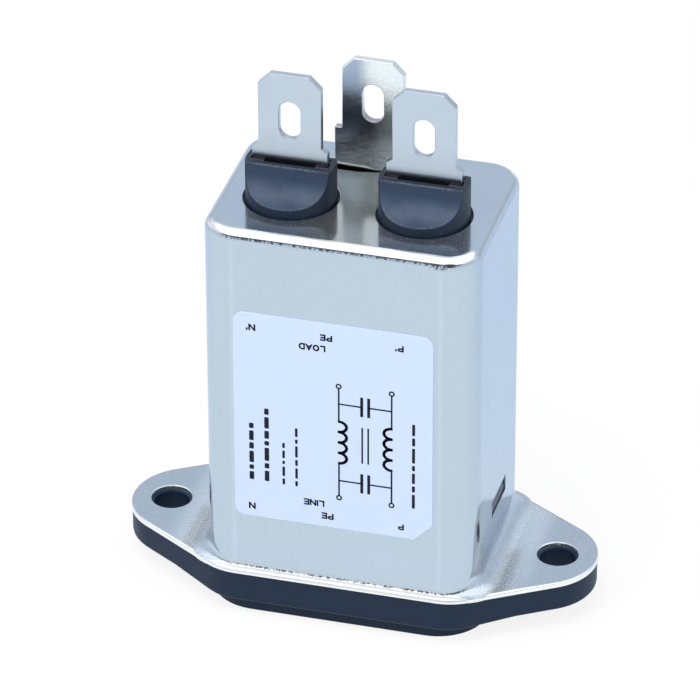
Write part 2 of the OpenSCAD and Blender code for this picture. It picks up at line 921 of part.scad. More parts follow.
module line_y_capacitor() {
    disc_capacitor(-1);
}

module neutral_y_capacitor() {
    disc_capacitor(1);
}

// Resistor that lies on the board, with its leads bent down
module bleed_resistor() {
    axis_z = board_top + resistor_d / 2;
    color("tan") {
        translate([resistor_x, resistor_y, axis_z])
            rotate([0, 90, 0])
                cylinder(d = resistor_d, h = resistor_l, center = true);
        translate([resistor_x, resistor_y, axis_z])
            rotate([0, 90, 0])
                cylinder(d = lead_d, h = resistor_span, center = true);
        for (p = resistor_leads())
            translate([p.x, p.y, axis_z])
                sphere(d = lead_d);
        leads(resistor_leads(), axis_z);
    }
}

// Straight length of round wire between two points, with a ball at its far end
module wire_run(a, b, d) {
    run = b - a;
    flat = norm([run.x, run.y]);
    translate(a)
        rotate([0, atan2(flat, run.z), atan2(run.y, run.x)])
            cylinder(d = d, h = norm(run));
    translate(b)
        sphere(d = d);
}

// Wire from the board up to the eye in the stem of the left load tab
module load_wire() {
    path = [[-wire_x, wire_y, board_z - lead_out], [-wire_x, wire_y, wire_turn_z],
        [-tab_x, -wire_front, wire_turn_z], [-tab_x, -wire_front, eye_z], [-tab_x, -tab_row + 1.2, eye_z]];
    for (i = [1:len(path) - 1])
        wire_run(path[i - 1], path[i], wire_d);
}

module line_load_wire() {
    color("saddlebrown")
        load_wire();
}

module neutral_load_wire() {
    color("steelblue")
        mirror([1, 0, 0])
            load_wire();
}

// Strip from the earth pin, under the board and up to the foot of the earth tab
module earth_strap() {
    start = pin_offset / 2 - tail_w / 2 - strap_up;
    inner = earth_row + tab_t + strap_gap;
    color("gold")
        difference() {
            translate([-strap_w / 2, 0, 0]) {
                translate([0, start, strap_z])
                    cube([strap_w, strap_back - start, strap_t]);
                translate([0, strap_back - strap_t, strap_z])
                    cube([strap_w, strap_t, strap_top - strap_z]);
                translate([0, inner, strap_top - strap_t])
                    cube([strap_w, strap_back - inner, strap_t]);
            }
            translate([0, pin_offset / 2, strap_z])
                cube([tail_t, tail_w, 4 * strap_t], center = true);
        }
}

// Small cones of solder under the board and on the two pin tails
module solder_joints() {
    cone_h = lead_out - 0.2;
    color("lightsteelblue") {
        for (p = all_leads())
            translate([p.x, p.y, board_z - cone_h])
                rotate_extrude()
                    polygon([[p.z / 2, 0], [p.z / 2 + 0.1, 0], [p.z / 2 + solder_w, cone_h], [p.z / 2, cone_h]]);
        for (which = ["line", "neutral"])
            translate(concat(pin_place(which), board_top))
                linear_extrude(tail_out / 2)
                    difference() {
                        square([tail_t + 2 * solder_w, tail_w + 2 * solder_w], center = true);
                        square([tail_t, tail_w], center = true);
                    }
    }
}

filter_can();
inlet_body();
line_pin();
neutral_pin();
earth_pin();
line_bushing();
neutral_bushing();
line_tab();
neutral_tab();
earth_tab();
label();
insulating_sleeve();
circuit_board();
choke_core();
choke_divider();
line_winding();
neutral_winding();
x_capacitor();
line_y_capacitor();
neutral_y_capacitor();
bleed_resistor();
line_load_wire();
neutral_load_wire();
earth_strap();
solder_joints();
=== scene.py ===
"""Finished look of an appliance-inlet line filter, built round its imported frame."""

import math

import bmesh
import bpy
from mathutils import Matrix, Vector


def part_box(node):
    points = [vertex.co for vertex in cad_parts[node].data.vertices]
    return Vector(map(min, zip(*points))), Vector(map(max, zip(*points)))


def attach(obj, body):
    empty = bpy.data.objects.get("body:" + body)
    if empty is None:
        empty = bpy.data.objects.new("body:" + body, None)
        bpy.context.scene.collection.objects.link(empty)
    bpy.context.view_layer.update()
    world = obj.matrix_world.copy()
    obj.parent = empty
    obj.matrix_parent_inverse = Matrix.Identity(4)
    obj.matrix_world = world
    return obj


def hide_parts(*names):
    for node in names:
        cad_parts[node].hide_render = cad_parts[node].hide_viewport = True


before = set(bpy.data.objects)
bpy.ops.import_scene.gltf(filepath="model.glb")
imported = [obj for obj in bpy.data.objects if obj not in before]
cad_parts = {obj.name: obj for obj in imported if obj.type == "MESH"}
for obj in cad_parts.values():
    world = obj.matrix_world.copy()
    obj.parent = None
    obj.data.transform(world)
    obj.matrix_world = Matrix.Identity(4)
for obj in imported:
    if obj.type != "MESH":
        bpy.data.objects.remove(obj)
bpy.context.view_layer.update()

bl_info = {
    "name": "Line Filter",
    "version": (1, 0, 0),
    "blender": (4, 5, 0),
    "location": "View3D > Sidebar > Line Filter",
    "description": "Gives the packed line filter its finished pieces and a plain studio",
    "category": "Object",
}

MM = 0.001
QUARTER = math.pi / 2
CRISP = 38  # edges sharper than this, in degrees, stay crisp
LEVEL = 0.2  # faces that turn less than this, in degrees, are one flat area
BURR = 0.12 * MM  # rounding of a pressed or moulded edge


def length(name, description, value):
    """A length in millimetres as a property in metres."""
    return bpy.props.FloatProperty(
        name=name, description=description, default=value * MM, min=0, precision=5, unit="LENGTH"
    )


def colour(name, description, value):
    """A colour as a property, in linear values."""
    return bpy.props.FloatVectorProperty(
        name=name, description=description, default=value, min=0, max=1, size=3, subtype="COLOR"
    )


class FilterSizes(bpy.types.PropertyGroup):
    """Sizes of the pieces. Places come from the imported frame."""

    can_width: length("Can width", "Outside width of the can", 27.6)
    can_depth: length("Can depth", "Outside depth of the can", 20.3)
    sheet: length("Sheet", "Thickness of the drawn sheet", 0.5)
    corner: length("Corner", "Radius of the can's upright corners", 3.4)
    top_edge: length("Top edge", "Radius round the can's top", 1.1)
    front_bend: length("Front bend", "Radius at the foot of the front and back walls", 0.32)
    end_bend: length("End bend", "Radius at the foot of the end walls", 2.0)
    ear_pitch: length("Ear pitch", "Distance between the centres of the ears", 36)
    ear: length("Ear", "Radius of the flange's ears", 6)
    flange_flat: length("Flange flat", "Straight length of the flange's front edge", 20.4)
    hole_pitch: length("Hole pitch", "Distance between the screw holes", 40)
    hole: length("Hole", "Screw hole in the metal flange", 4.1)
    plate_hole: length("Plate hole", "Screw hole in the moulded plate", 3.5)
    window_width: length("Window width", "Width of a latch window", 5.5)
    window_height: length("Window height", "Height of a latch window", 1.8)
    window_up: length("Window place", "Lower edge of the window above the flange", 4.65)
    window_back: length("Window shift", "Where the windows lie behind the middle", 0.4)
    bezel: length("Bezel", "How much thicker the plate is between its ears", 0.5)
    bezel_in: length("Bezel middle", "Half length of the thicker middle", 12)
    bezel_out: length("Bezel end", "Half length where it has run out", 17.5)
    rim_height: length("Rim height", "Height of the rim under the ears", 2.1)
    rim_width: length("Rim width", "Width of the rim", 28.3)
    rim_depth: length("Rim depth", "Depth of the rim", 19.6)
    rim_corner: length("Rim corner", "Corner radius of the rim", 5.2)
    socket_width: length("Socket width", "Width of the inlet socket", 24.4)
    socket_depth: length("Socket depth", "Depth of the inlet socket, front to back", 16.4)
    socket_height: length("Socket height", "How far the socket goes in", 16.5)
    socket_cut: length("Socket cut", "Cut corners of the socket", 4.6)
    floor: length("Socket floor", "Thickness of the socket's floor", 2)
    blade_width: length("Blade width", "Width of a load blade", 6.3)
    blade: length("Blade", "Thickness of a load blade", 0.8)
    tip_cut: length("Tip cut", "Cut corners at a blade's tip", 1.2)
    eye_width: length("Eye width", "Width of the hole in a blade", 2.15)
    eye_height: length("Eye height", "Length of the hole in a blade", 4.05)
    eye_down: length("Eye place", "Middle of that hole below the tip", 4.9)
    earth_eye_down: length("Earth eye place", "The same on the earth blade", 4.65)
    shoulder: length("Shoulder", "Width of a load blade's shoulder", 7.55)
    stem: length("Stem", "Width of a load blade's stem", 5)
    insulator: length("Insulator", "Diameter of an insulating bushing", 8.9)
    insulator_gap: length("Insulator gap", "Gap round a bushing in the can's top", 0.22)
    ridge: length("Ridge", "Thickness of a bushing's ridge", 3)
    pocket: length("Pocket", "Thickness of the pocket round a blade", 1.8)
    pocket_step: length("Pocket step", "Depth of the steps at the pocket's ends", 0.1)
    hollow: length("Hollow", "Radius of the hollows in a bushing", 3.1)
    collar: length("Collar", "Diameter of the collar under the can's top", 10.4)
    label_corner: length("Label corner", "Corner radius of the label", 1.1)
    label_cut: length("Label cut", "Bevelled corner of the label", 1.85)


class FilterColours(bpy.types.PropertyGroup):
    """Colours of the finishes."""

    plating: colour("Plating", "Bright plated sheet", (0.57, 0.64, 0.715))
    blade: colour("Blades", "Tin-plated blades", (0.6, 0.655, 0.725))
    earth: colour("Earth blade", "Plain plated steel", (0.73, 0.745, 0.745))
    moulding: colour("Moulding", "Black inlet moulding", (0.006, 0.017, 0.042))
    insulator: colour("Bushings", "Blue-black bushings", (0.03, 0.052, 0.1))
    film: colour("Label", "White label film", (0.565, 0.68, 0.92))
    ink: colour("Ink", "Dark print", (0.008, 0.011, 0.02))


# Outlines


def arc(centre, radius, start, end, steps):
    """Points on a circle from one angle to another, both ends included."""
    return [
        (
            centre[0] + radius * math.cos(start + (end - start) * i / steps),
            centre[1] + radius * math.sin(start + (end - start) * i / steps),
        )
        for i in range(steps + 1)
    ]


def circle(centre, diameter, steps=48):
    """A round outline, anticlockwise."""
    return arc(centre, diameter / 2, 0, 2 * math.pi, steps)[:-1]


def box_outline(width, depth, centre=(0, 0)):
    """A plain rectangle, anticlockwise."""
    x, y = width / 2, depth / 2
    return [(centre[0] + a * x, centre[1] + b * y) for a, b in ((-1, -1), (1, -1), (1, 1), (-1, 1))]


def soft_corners(points, radii, steps=8):
    """The same outline with an arc of its own radius in each corner."""
    result = []
    for i, point in enumerate(points):
        here = Vector(point)
        back = (Vector(points[i - 1]) - here).normalized()
        on = (Vector(points[(i + 1) % len(points)]) - here).normalized()
        radius = radii[i] if isinstance(radii, (list, tuple)) else radii
        if radius <= 0:
            result.append(tuple(here))
            continue
        half = back.angle(on) / 2
        middle = here + (back + on).normalized() * radius / math.sin(half)
        first = here + back * radius / math.tan(half) - middle
        turn = math.atan2(first.y, first.x)
        last = here + on * radius / math.tan(half) - middle
        sweep = math.atan2(last.y, last.x) - turn
        sweep = (sweep + math.pi) % (2 * math.pi) - math.pi
        result += arc(middle, radius, turn, turn + sweep, steps)
    return result


def inset_loop(points, amount):
    """An anticlockwise outline moved inwards; a negative amount moves it out."""
    result = []
    for i, point in enumerate(points):
        here = Vector(point)
        back = (here - Vector(points[i - 1])).normalized()
        on = (Vector(points[(i + 1) % len(points)]) - here).normalized()
        first, second = Vector((-back.y, back.x)), Vector((-on.y, on.x))
        result.append(tuple(here + (first + second) * amount / (1 + first.dot(second))))
    return result


def diamond(sizes, depth, inset, steps=14):
    """Outline of the flange: two ears and a straight front and back."""
    ear, radius = sizes.ear_pitch / 2, sizes.ear - inset
    x, y = sizes.flange_flat / 2, depth / 2 - sizes.ear
    lean = math.atan2(y, x - ear) - QUARTER
    points = []
    for centre, start, end, count in (
        ((ear, 0), -lean, lean, 2 * steps),
        ((x, y), lean, QUARTER, steps),
        ((-x, y), QUARTER, math.pi - lean, steps),
        ((-ear, 0), math.pi - lean, math.pi + lean, 2 * steps),
        ((-x, -y), math.pi + lean, 3 * QUARTER, steps),
        ((x, -y), 3 * QUARTER, 4 * QUARTER - lean, steps),
    ):
        points += arc(centre, radius, start, end, count)
    return points


def edge_arc(radius, steps=3):
    """A rounded edge as pairs of inset and drop, from the flat face to the side."""
    if radius <= 0:
        return [(0, 0)]
    return [
        (radius * (1 - math.sin(QUARTER * i / steps)), radius * (1 - math.cos(QUARTER * i / steps)))
        for i in range(steps + 1)
    ]


def lower_edge(radius, height, steps=3):
    """Insets and heights round a lower edge that starts at a height."""
    return [(i, height + d) for i, d in edge_arc(radius, steps)]


def upper_edge(radius, height, steps=3):
    """Insets and heights round an upper edge that ends at a height."""
    return [(i, height - d) for i, d in reversed(edge_arc(radius, steps))]


# Skins


def new_object(name, data):
    """An object in the scene."""
    made = bpy.data.objects.new(name, data)
    bpy.context.scene.collection.objects.link(made)
    return made


def upright(x, y, z):
    """Turns a flat drawing to face the front: its Y becomes height."""
    return (x, -z, y)


def level(x, y, z):
    """Leaves a flat drawing level."""
    return (x, y, z)


DOWN = (0, 0, -1)


class Skin:
    """A closed surface that grows ring by ring."""

    def __init__(self):
        self.bm = bmesh.new()

    def ring(self, points):
        """Adds a ring of corners."""
        return [self.bm.verts.new(p) for p in points]

    def band(self, first, second, skip=()):
        """Joins two rings of equal length with four-sided faces."""
        for i in range(len(first)):
            if i in skip:
                continue
            j = (i + 1) % len(first)
            self.bm.faces.new((first[i], first[j], second[j], second[i]))

    def bands(self, rings):
        """Joins each ring to the next."""
        for first, second in zip(rings, rings[1:]):
            self.band(first, second)

    def flat(self, rings, normal=(0, 0, 1)):
        """Fills the flat space between an outer ring and the rings inside it."""
        edges = []
        for ring in rings:
            for i, corner in enumerate(ring):
                pair = (corner, ring[(i + 1) % len(ring)])
                edges.append(self.bm.edges.get(pair) or self.bm.edges.new(pair))
        bmesh.ops.triangle_fill(self.bm, use_beauty=True, edges=edges, normal=normal)

    def tube(self, loop, steps, side=1, lift=level):
        """Rings of one loop at several insets and heights; side -1 is for a hole."""
        rings = [
            self.ring([lift(x, y, z) for x, y in inset_loop(loop, side * i)]) for i, z in steps
        ]
        self.bands(rings)
        return rings

    def plate(self, loops, low, high, edges=(0, 0), lift=level):
        """A flat plate with holes and rounded edges; the first loop is its outline."""
        steps = lower_edge(edges[0], low) + upper_edge(edges[1], high)
        lows, highs = [], []
        for number, loop in enumerate(loops):
            rings = self.tube(loop, steps, -1 if number else 1, lift)
            lows.append(rings[0])
            highs.append(rings[-1])
        normal = Vector(lift(0, 0, 1)) - Vector(lift(0, 0, 0))
        self.flat(lows, -normal)
        self.flat(highs, normal)

    def mesh(self, name):
        """Ends the skin and returns its mesh."""
        bmesh.ops.recalc_face_normals(self.bm, faces=self.bm.faces)
        mesh = bpy.data.meshes.new(name)
        self.bm.to_mesh(mesh)
        self.bm.free()
        return mesh

    def piece(self, name, material, slot, nodes=(), angle=CRISP):
        """Makes the skin a smooth piece of the filter that rides on its body."""
        mesh = self.mesh(name)
        mesh.materials.append(material)
        made = new_object(name, mesh)
        smooth(made, angle)
        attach(made, "root")
        if nodes:
            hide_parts(*nodes)
        return made


def smooth(made, angle=CRISP):
    """Smooth shading with crisp edges. Flat areas stay flat right up to their edges."""
    mesh = made.data
    bm = bmesh.new()
    bm.from_mesh(mesh)
    bm.normal_update()
    bm.faces.ensure_lookup_table()
    flat, limit = (math.cos(math.radians(turn)) for turn in (LEVEL, angle))
    weight = [0.0] * len(bm.faces)
    seen = set()
    for start in bm.faces:
        if start.index in seen:
            continue
        seen.add(start.index)
        area, queue = [start], [start]
        while queue:
            face = queue.pop()
            for edge in face.edges:
                for other in edge.link_faces:
                    if other.index not in seen and other.normal.dot(start.normal) > flat:
                        seen.add(other.index)
                        area.append(other)
                        queue.append(other)
        total = sum(face.calc_area() for face in area) / MM**2
        for face in area:
            weight[face.index] = max(total, 1e-9) ** 2
    normals = []
    for face in bm.faces:
        for corner in face.loops:
            normal = Vector()
            for other in corner.vert.link_loops:
                if other.face.normal.dot(face.normal) >= limit:
                    normal += other.face.normal * weight[other.face.index] * other.calc_angle()
            normals.append(tuple(normal.normalized() if normal.length else face.normal))
    bm.free()
    mesh.polygons.foreach_set("use_smooth", [True] * len(mesh.polygons))
    mesh.normals_split_custom_set(normals)


def cut(made, cutters):
    """Cuts the cutters' meshes out of a piece."""
    bpy.context.view_layer.update()
    for mesh in cutters:
        tool = new_object("cutter", mesh)
        step = made.modifiers.new("cut", "BOOLEAN")
        step.operation = "DIFFERENCE"
        step.solver = "EXACT"
        step.object = tool
        shown = made.evaluated_get(bpy.context.evaluated_depsgraph_get())
        new = bpy.data.meshes.new_from_object(shown)
        made.modifiers.clear()
        made.data = new
        bpy.data.objects.remove(tool)
    smooth(made)


def block(width, depth, low, high, centre=(0, 0)):
    """Mesh of a plain block, for cutting only."""
    skin = Skin()
    skin.plate([box_outline(width, depth, centre)], low, high)
    return skin.mesh("block")


# Finishes


class Wire:
    """A shader socket for Python's operators; each operator adds a Math node."""

    def __init__(self, finish, socket):
        self.finish = finish
        self.socket = socket

    def math(self, operation, first, second=0.0):
        """A Math node on this wire or on two values."""
        return self.finish.node("ShaderNodeMath", {"operation": operation}, {0: first, 1: second})

    def __add__(self, other):
        return self.math("ADD", self, other)

    def __radd__(self, other):
        return self.math("ADD", other, self)

    def __sub__(self, other):
        return self.math("SUBTRACT", self, other)

    def __rsub__(self, other):
        return self.math("SUBTRACT", other, self)

    def __mul__(self, other):
        return self.math("MULTIPLY", self, other)

    def __rmul__(self, other):
        return self.math("MULTIPLY", other, self)

    def __pow__(self, other):
        return self.math("POWER", self, other)

    def __abs__(self):
        return self.math("ABSOLUTE", self)

    def between(self, low, high):
        """0 below the low value, 1 above the high one, and a soft step between."""
        return self.finish.node(
            "ShaderNodeMapRange",
            {"interpolation_type": "SMOOTHSTEP"},
            {"Value": self, "From Min": low, "From Max": high},
        )

    def past(self, low, high):
        """The same for a length, with both values in millimetres."""
        return self.between(low * MM, high * MM)

    def near(self, place, low, high):
        """1 round a place and 0 away from it, with both distances in millimetres."""
        return 1 - abs(self - place).past(low, high)


class Finish:
    """A shader tree, for a material or for the world."""

    def __init__(self, owner):
        owner.use_nodes = True
        self.tree = owner.node_tree
        self.tree.nodes.clear()

    def node(self, kind, settings=None, inputs=None, output=0):
        """Adds any node: its settings first, then the values or wires of its sockets."""
        node = self.tree.nodes.new(kind)
        for key, value in (settings or {}).items():
            setattr(node, key, value)
        for key, value in (inputs or {}).items():
            if isinstance(value, Wire):
                self.tree.links.new(value.socket, node.inputs[key])
            else:
                node.inputs[key].default_value = value
        return Wire(self, node.outputs[output]) if node.outputs else None

    def place(self, kind="Object"):
        """Where a point lies: in the filter's own frame, or a direction for the world."""
        return self.node("ShaderNodeTexCoord", output=kind)

    def axes(self, kind="Object"):
        """The same as three numbers."""
        parts = self.node("ShaderNodeSeparateXYZ", inputs={0: self.place(kind)})
        return [Wire(self, parts.socket.node.outputs[i]) for i in range(3)]

    def noise(self, grain, detail=2.0, stretch=(1, 1, 1), rough=0.5):
        """Cloudy noise with a grain in millimetres; more stretch makes it shorter that way."""
        moved = self.node(
            "ShaderNodeVectorMath", {"operation": "MULTIPLY"}, {0: self.place(), 1: stretch}
        )
        return self.node(
            "ShaderNodeTexNoise",
            inputs={
                "Vector": moved, "Scale": 1 / (grain * MM), "Detail": detail, "Roughness": rough,
            },
        )

    def blend(self, factor, first, second):
        """A mix of two colours."""
        return self.node(
            "ShaderNodeMix",
            {"data_type": "RGBA"},
            {0: factor, 6: rgba(first), 7: rgba(second)},
            output=2,
        )

    def coats(self, tint, mask, dark, light, *coats):
        """A tint that varies from dark to light, then further colours, each with its mask. A
        number in place of a colour is the tint times that number."""
        tone = self.blend(mask, shade(tint, dark), shade(tint, light))
        for mask, coat in coats:
            tone = self.blend(mask, tone, shade(tint, coat) if isinstance(coat, float) else coat)
        return tone

    def most(self, first, second):
        """The greater of two masks."""
        return first.math("MAXIMUM", first, second)

    def bump(self, height, depth):
        """A normal from a height between 0 and 1 and its real depth in millimetres."""
        return self.node("ShaderNodeBump", inputs={"Distance": depth * MM, "Height": height})

    def ray(self, kind):
        """1 for rays of a kind, such as Camera or Glossy."""
        return self.node("ShaderNodeLightPath", output=f"Is {kind} Ray")

    def surface(self, **sockets):
        """The shader itself, wired to the material's output."""
        names = {key.replace("_", " "): value for key, value in sockets.items()}
        names = {key: rgba(value) if "Color" in key else value for key, value in names.items()}
        shader = self.node("ShaderNodeBsdfPrincipled", inputs=names)
        self.node("ShaderNodeOutputMaterial", inputs={"Surface": shader})


def rgba(value):
    """A colour with its alpha, or a wire as it is."""
    return value if isinstance(value, Wire) else (*tuple(value)[:3], 1.0)


def shade(value, factor):
    """A colour made lighter or darker."""
    return tuple(min(1.0, part * factor) for part in tuple(value)[:3])


def new_finish(name):
    """An empty material and its tree."""
    material = bpy.data.materials.new(name)
    return material, Finish(material)


def drawn_plating(sizes, colours):
    """Bright plated sheet, with fine peel that is stronger where the sheet was bent."""
    material, finish = new_finish("drawn plating")
    low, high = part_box("filter_can")
    deck, top, edge = low[2] + sizes.sheet, high[2], sizes.top_edge
    half = sizes.can_width / 2
    x, y, z = finish.axes()
    up, down, out, forth = z - deck, top - z, abs(x) - half, abs(y) - high[1]

    # Where the sheet is bent
    ends = out.past(-0.6, 0.2) * (1 - abs(x).past(16.5, 19.5))
    foot = 1 - up.past(0.4, 3.2)
    ends = ends * foot
    brim = z.near(top - edge, 0.1, 0.6)
    sill = up.near(0.35 * MM, 0.1, 0.7) * (1 - ends)
    strip = forth.past(-0.95, -0.8) * (1 - up.past(0.05, 0.3))
    # line: a painted highlight, a lighter upright line where the front and back faces turn into the
    # corners
    line = out.near(-sizes.corner, 0, 0.42) * down.past(1, 2) * up.past(0.3, 1)

    # Grain
    fine = finish.noise(0.16, 2.0)
    peel = finish.noise(0.2, 3.0)
    pinched = finish.noise(0.22, 2.0, (1, 1, 0.5))
    sway = finish.noise(6, 1.0)
    stain = finish.noise(9, 3.0)
    # specks: tiny pits in the bump, also painted white in the colour as sparkle glints
    specks = finish.noise(0.14, 0.0).between(0.75, 0.8)
    height = fine * 0.1 + peel * (0.05 + 0.15 * foot + 2.7 * ends) + sway * 0.8 + specks * 0.5
    height = height + pinched * (brim * 2.2 + sill * 2.2) + line * 0.2

    # Rubbed and stained places, and painted highlights, reflections and shade
    rubbed = finish.noise(2.2, 3.0, (1, 1, 0.6)).between(0.56, 0.72) * out.near(-0.5 * MM, 0.8, 2.4)
    # Painted warm highlight: a lighter upright band where each front corner meets its end wall
    painted_corner_light = y.near(low[1] + sizes.corner + 0.1 * MM, 0.5, 0.9) * out.past(-1.2, -0.6)
    painted_corner_light = painted_corner_light * up.past(1.5, 2) * (1 - up.past(7, 10))
    # Painted shade: the flange's upper face darkened
    painted_deck_shade = (1 - up.past(0.02, 0.3)) * (1 - ends)
    warm = x.near(0, 2.5, 5) * (1 - down.past(0, 0.15))
    # dull: a painted dark reflection, a brownish dark band on the flange beside the feet of the end
    # walls, front half
    dull = out.near(2 * MM, 0.3, 1.2) * ends * (1 - y.past(-1.5, 0.5)) * peel.between(0.25, 0.6)
    # rolled, strip and bright: painted white highlights on the flange's rolled edge and underside,
    # its front and back edge, and the band along the can's top front and back edges
    rolled = 1 - up.past(-0.05, -0.01)
    bright = (1 - (down - 0.47 * edge).past(-0.1, 0)) * down.past(0.02, 0.12)
    bright = bright * forth.past(-3.6, -2.4)
    face = forth.past(-1.55, -1.3) * (1 - (out + sizes.corner).past(0.4, 1.2))
    # Painted shade: near-black dotted lines along the foot of the front face and just below its top
    # edge
    painted_crease_shade = up.near(0.13 * MM, 0.04, 0.13) + down.near(0.57 * edge, 0.05, 0.15)
    painted_crease_shade = painted_crease_shade * face * pinched.between(0.46, 0.56)
    # Painted shade: a near-black dotted patch on the front face below the top edge, beside the
    # right corner
    painted_dark_spot = x.near(half - sizes.corner - 0.2 * MM, 0.3, 1.1) * down.near(0.7 * edge, 0.08, 0.36)
    painted_dark_spot = painted_dark_spot * face * (1 - y.past(-1, 0)) * pinched.between(0.4, 0.56)
    # Colour of the painted highlights
    painted_glint = (1.0, 0.99, 0.96)
    finish.surface(
        Base_Color=finish.coats(
            colours.plating, stain * 0.6 + fine.between(0.3, 0.7) * 0.4, 0.95, 1.05,
            # Painted highlight along the corner lines
            (line * 0.3, 1.2),
            (rubbed * 0.35, (0.55, 0.57, 0.56)),
            # Painted warm highlight along the front corners
            (painted_corner_light * 0.55, (0.84, 0.82, 0.74)),
            # Painted shade on the flange's upper face
            (painted_deck_shade * 0.5, 0.8),
            (warm, (0.62, 0.64, 0.6)),
            # Painted dark reflection beside the end walls
            (dull * 0.5, (0.3, 0.29, 0.27)),
            # Painted highlights on the flange edge and the top edge
            (finish.most(strip, rolled), painted_glint),
            (bright, painted_glint),
            # Painted white sparkles
            (specks * 0.25, (1, 1, 1)),
            # Painted shade patch at the right front corner
            (painted_dark_spot * 0.8, (0.05, 0.05, 0.05)),
            # Painted shade in the bends
            (painted_crease_shade * 0.85, (0.03, 0.035, 0.045)),
        ),
        Metallic=0.955 - specks * 0.2,
        Roughness=0.1 + fine * 0.06 + ends * 0.14 + strip * 0.26,
        Normal=finish.bump(height, 0.012),
    )
    return material


def rolled_plating(name, tint, rough=0.16, wear_and_painted_bands=0.0, painted_dark_reflection=0.0, painted_slot_shade=1.0):
    """Tin-plated strip with fine rolling lines across it. Wear gives more of them, together with
    painted light and dark reflection bands; a painted dark reflection darkens it just above the
    bushings, and painted shade darkens it where it enters the can."""
    material, finish = new_finish(name)
    z = finish.axes()[2]
    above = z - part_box("neutral_bushing")[1][2]
    # Painted shade: the blade near black where it enters the can's top
    painted_slot_shade_mask = (1 - (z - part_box("filter_can")[1][2]).past(0.05, 0.3)) * painted_slot_shade
    lines = finish.noise(0.5, 3.0, (1, 1, 12))
    fine = finish.noise(0.9, 4.0, (1, 1, 26), 0.7)
    spots = finish.noise(1.6, 3.0)
    flecks = finish.noise(0.16, 1.0).between(0.70, 0.76)
    dusty = (1 - above.past(-2.5, 1)) * fine.between(0.42, 0.6) * wear_and_painted_bands
    finish.surface(
        Base_Color=finish.coats(
            tint, spots, 0.96, 1.04,
            (fine.between(0.35, 0.7) * wear_and_painted_bands * 0.4, 0.6),
            # Painted reflection: a lighter band on the worn blade's upper part
            (above.past(2.6, 4.4) * wear_and_painted_bands * 1.5, 1.3),
            # Painted dark reflection: a darker band on the worn blade just above the bushings' tops
            (above.near(1.2 * MM, 0.6, 2) * wear_and_painted_bands, 0.4),
            (dusty * 1.6, (0.86, 0.95, 1.0)),
            # Painted dark reflection of the bushing, fading upwards
            ((1 - above.past(0, 4.5)) * painted_dark_reflection * 0.35, 0.6),
            ((1 - above.past(0.1, 1.2)) * painted_dark_reflection, 0.3),
            # Painted shade in the slot
            (painted_slot_shade_mask, (0.03, 0.03, 0.035)),
        ),
        Metallic=0.98 - dusty * 0.4,
        Roughness=rough + lines * 0.08 + fine * wear_and_painted_bands * 0.12,
        Normal=finish.bump(lines * 0.5 + spots * 0.5 + fine * wear_and_painted_bands + flecks * 0.8, 0.007),
    )
    return material


def fine_moulding(name, tint, rough=0.42, shine=0.25):
    """Moulded plastic with a fine matt skin, faint scuffs, and latch noses painted lighter as a
    sheen.
    """
    material, finish = new_finish(name)
    # nose: a painted sheen, the latch noses lighter grey
    nose = finish.axes()[2].past(7, 8)
    skin = finish.noise(0.14, 2.0)
    clouds = finish.noise(3, 3.0)
    scuffs = finish.noise(0.35, 2.0, (1, 1, 3)).between(0.66, 0.74)
    finish.surface(
        Base_Color=finish.coats(
            tint, clouds, 0.9, 1.12, (scuffs * 0.25, 3.0), (nose, (0.1, 0.13, 0.17))
        ),
        Roughness=rough + clouds * 0.08,
        Specular_IOR_Level=shine,
        Normal=finish.bump(skin, 0.008),
    )
    return material


def bushing_moulding(sizes, tint):
    """Blue-black moulding: smooth sides darkened as painted shade, hollows lighter lower down with
    dust and painted light, a pocket darkened as painted shade, and rubbed lips.
    """
    material, finish = new_finish("bushing plastic")
    place, top = middle("neutral_bushing"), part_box("neutral_bushing")[1][2]
    x, y, z = finish.axes()
    depth, across, far = top - z, abs(abs(x) - place.x), abs(y - place.y)
    out = (across**2.0 + far**2.0) ** 0.5 - sizes.insulator / 2
    ridge = far - sizes.ridge / 2
    skin = finish.noise(0.2, 2.0)
    clouds = finish.noise(2.5, 3.0)
    ragged = finish.noise(0.2, 4.0, (0.6, 1, 1), 0.65)
    flecks = finish.noise(0.3, 1.0).between(0.72, 0.78)
    # side: the bushing's round side, darkened as painted shade
    side = out.past(-0.1, -0.02)
    hollow = ridge.past(0, 0.05) * (1 - side)
    # Lighter lower down in the hollows: dust, and painted light on their upward-facing lower part
    dust_and_painted_light = depth.past(0.9, 2.2) * (1 - depth.past(2.5, 3.1) * 0.5) * hollow
    lip = ridge.near(-0.05 * MM, 0.02, 0.12) * (1 - depth.past(0.05, 0.3))
    lip = lip * ragged.between(0.36, 0.56) * (1 - across.past(2.8, 3.6) * 0.7)
    rim = out.near(-0.13 * MM, 0.02, 0.1) * hollow * depth.past(2.0, 2.8)
    rim = rim * ragged.between(0.42, 0.6)
    inside = (1 - far.past(0.86, 0.9)) * (1 - across.past(3.9, 3.95))
    # Painted shade: the deep pocket round the blade near black
    painted_pocket_shade = inside * (depth - sizes.pocket_step).past(0.04, 0.12)
    step = inside * depth.past(0.04, 0.08) * (1 - painted_pocket_shade)
    finish.surface(
        Base_Color=finish.coats(
            tint, clouds, 0.72, 0.86,
            (dust_and_painted_light * clouds.between(0.0, 0.8) * 0.9, (0.066, 0.088, 0.132)),
            # Painted shade on the sides
            (side, 0.42),
            (1 - depth.past(0.02, 0.06), (0.016, 0.024, 0.036)),
            (step, (0.05, 0.052, 0.06)),
            # Painted shade in the pocket
            (painted_pocket_shade, (0.004, 0.005, 0.008)),
            (lip * 0.55 + rim * 0.5, (0.13, 0.16, 0.2)),
            (flecks * 0.3 * (1 - painted_pocket_shade), 3.0),
        ),
        Roughness=0.42 + clouds * 0.08 + lip * 0.1,
        Specular_IOR_Level=0.3,
        Normal=finish.bump(skin + ragged * lip, 0.012),
    )
    return material


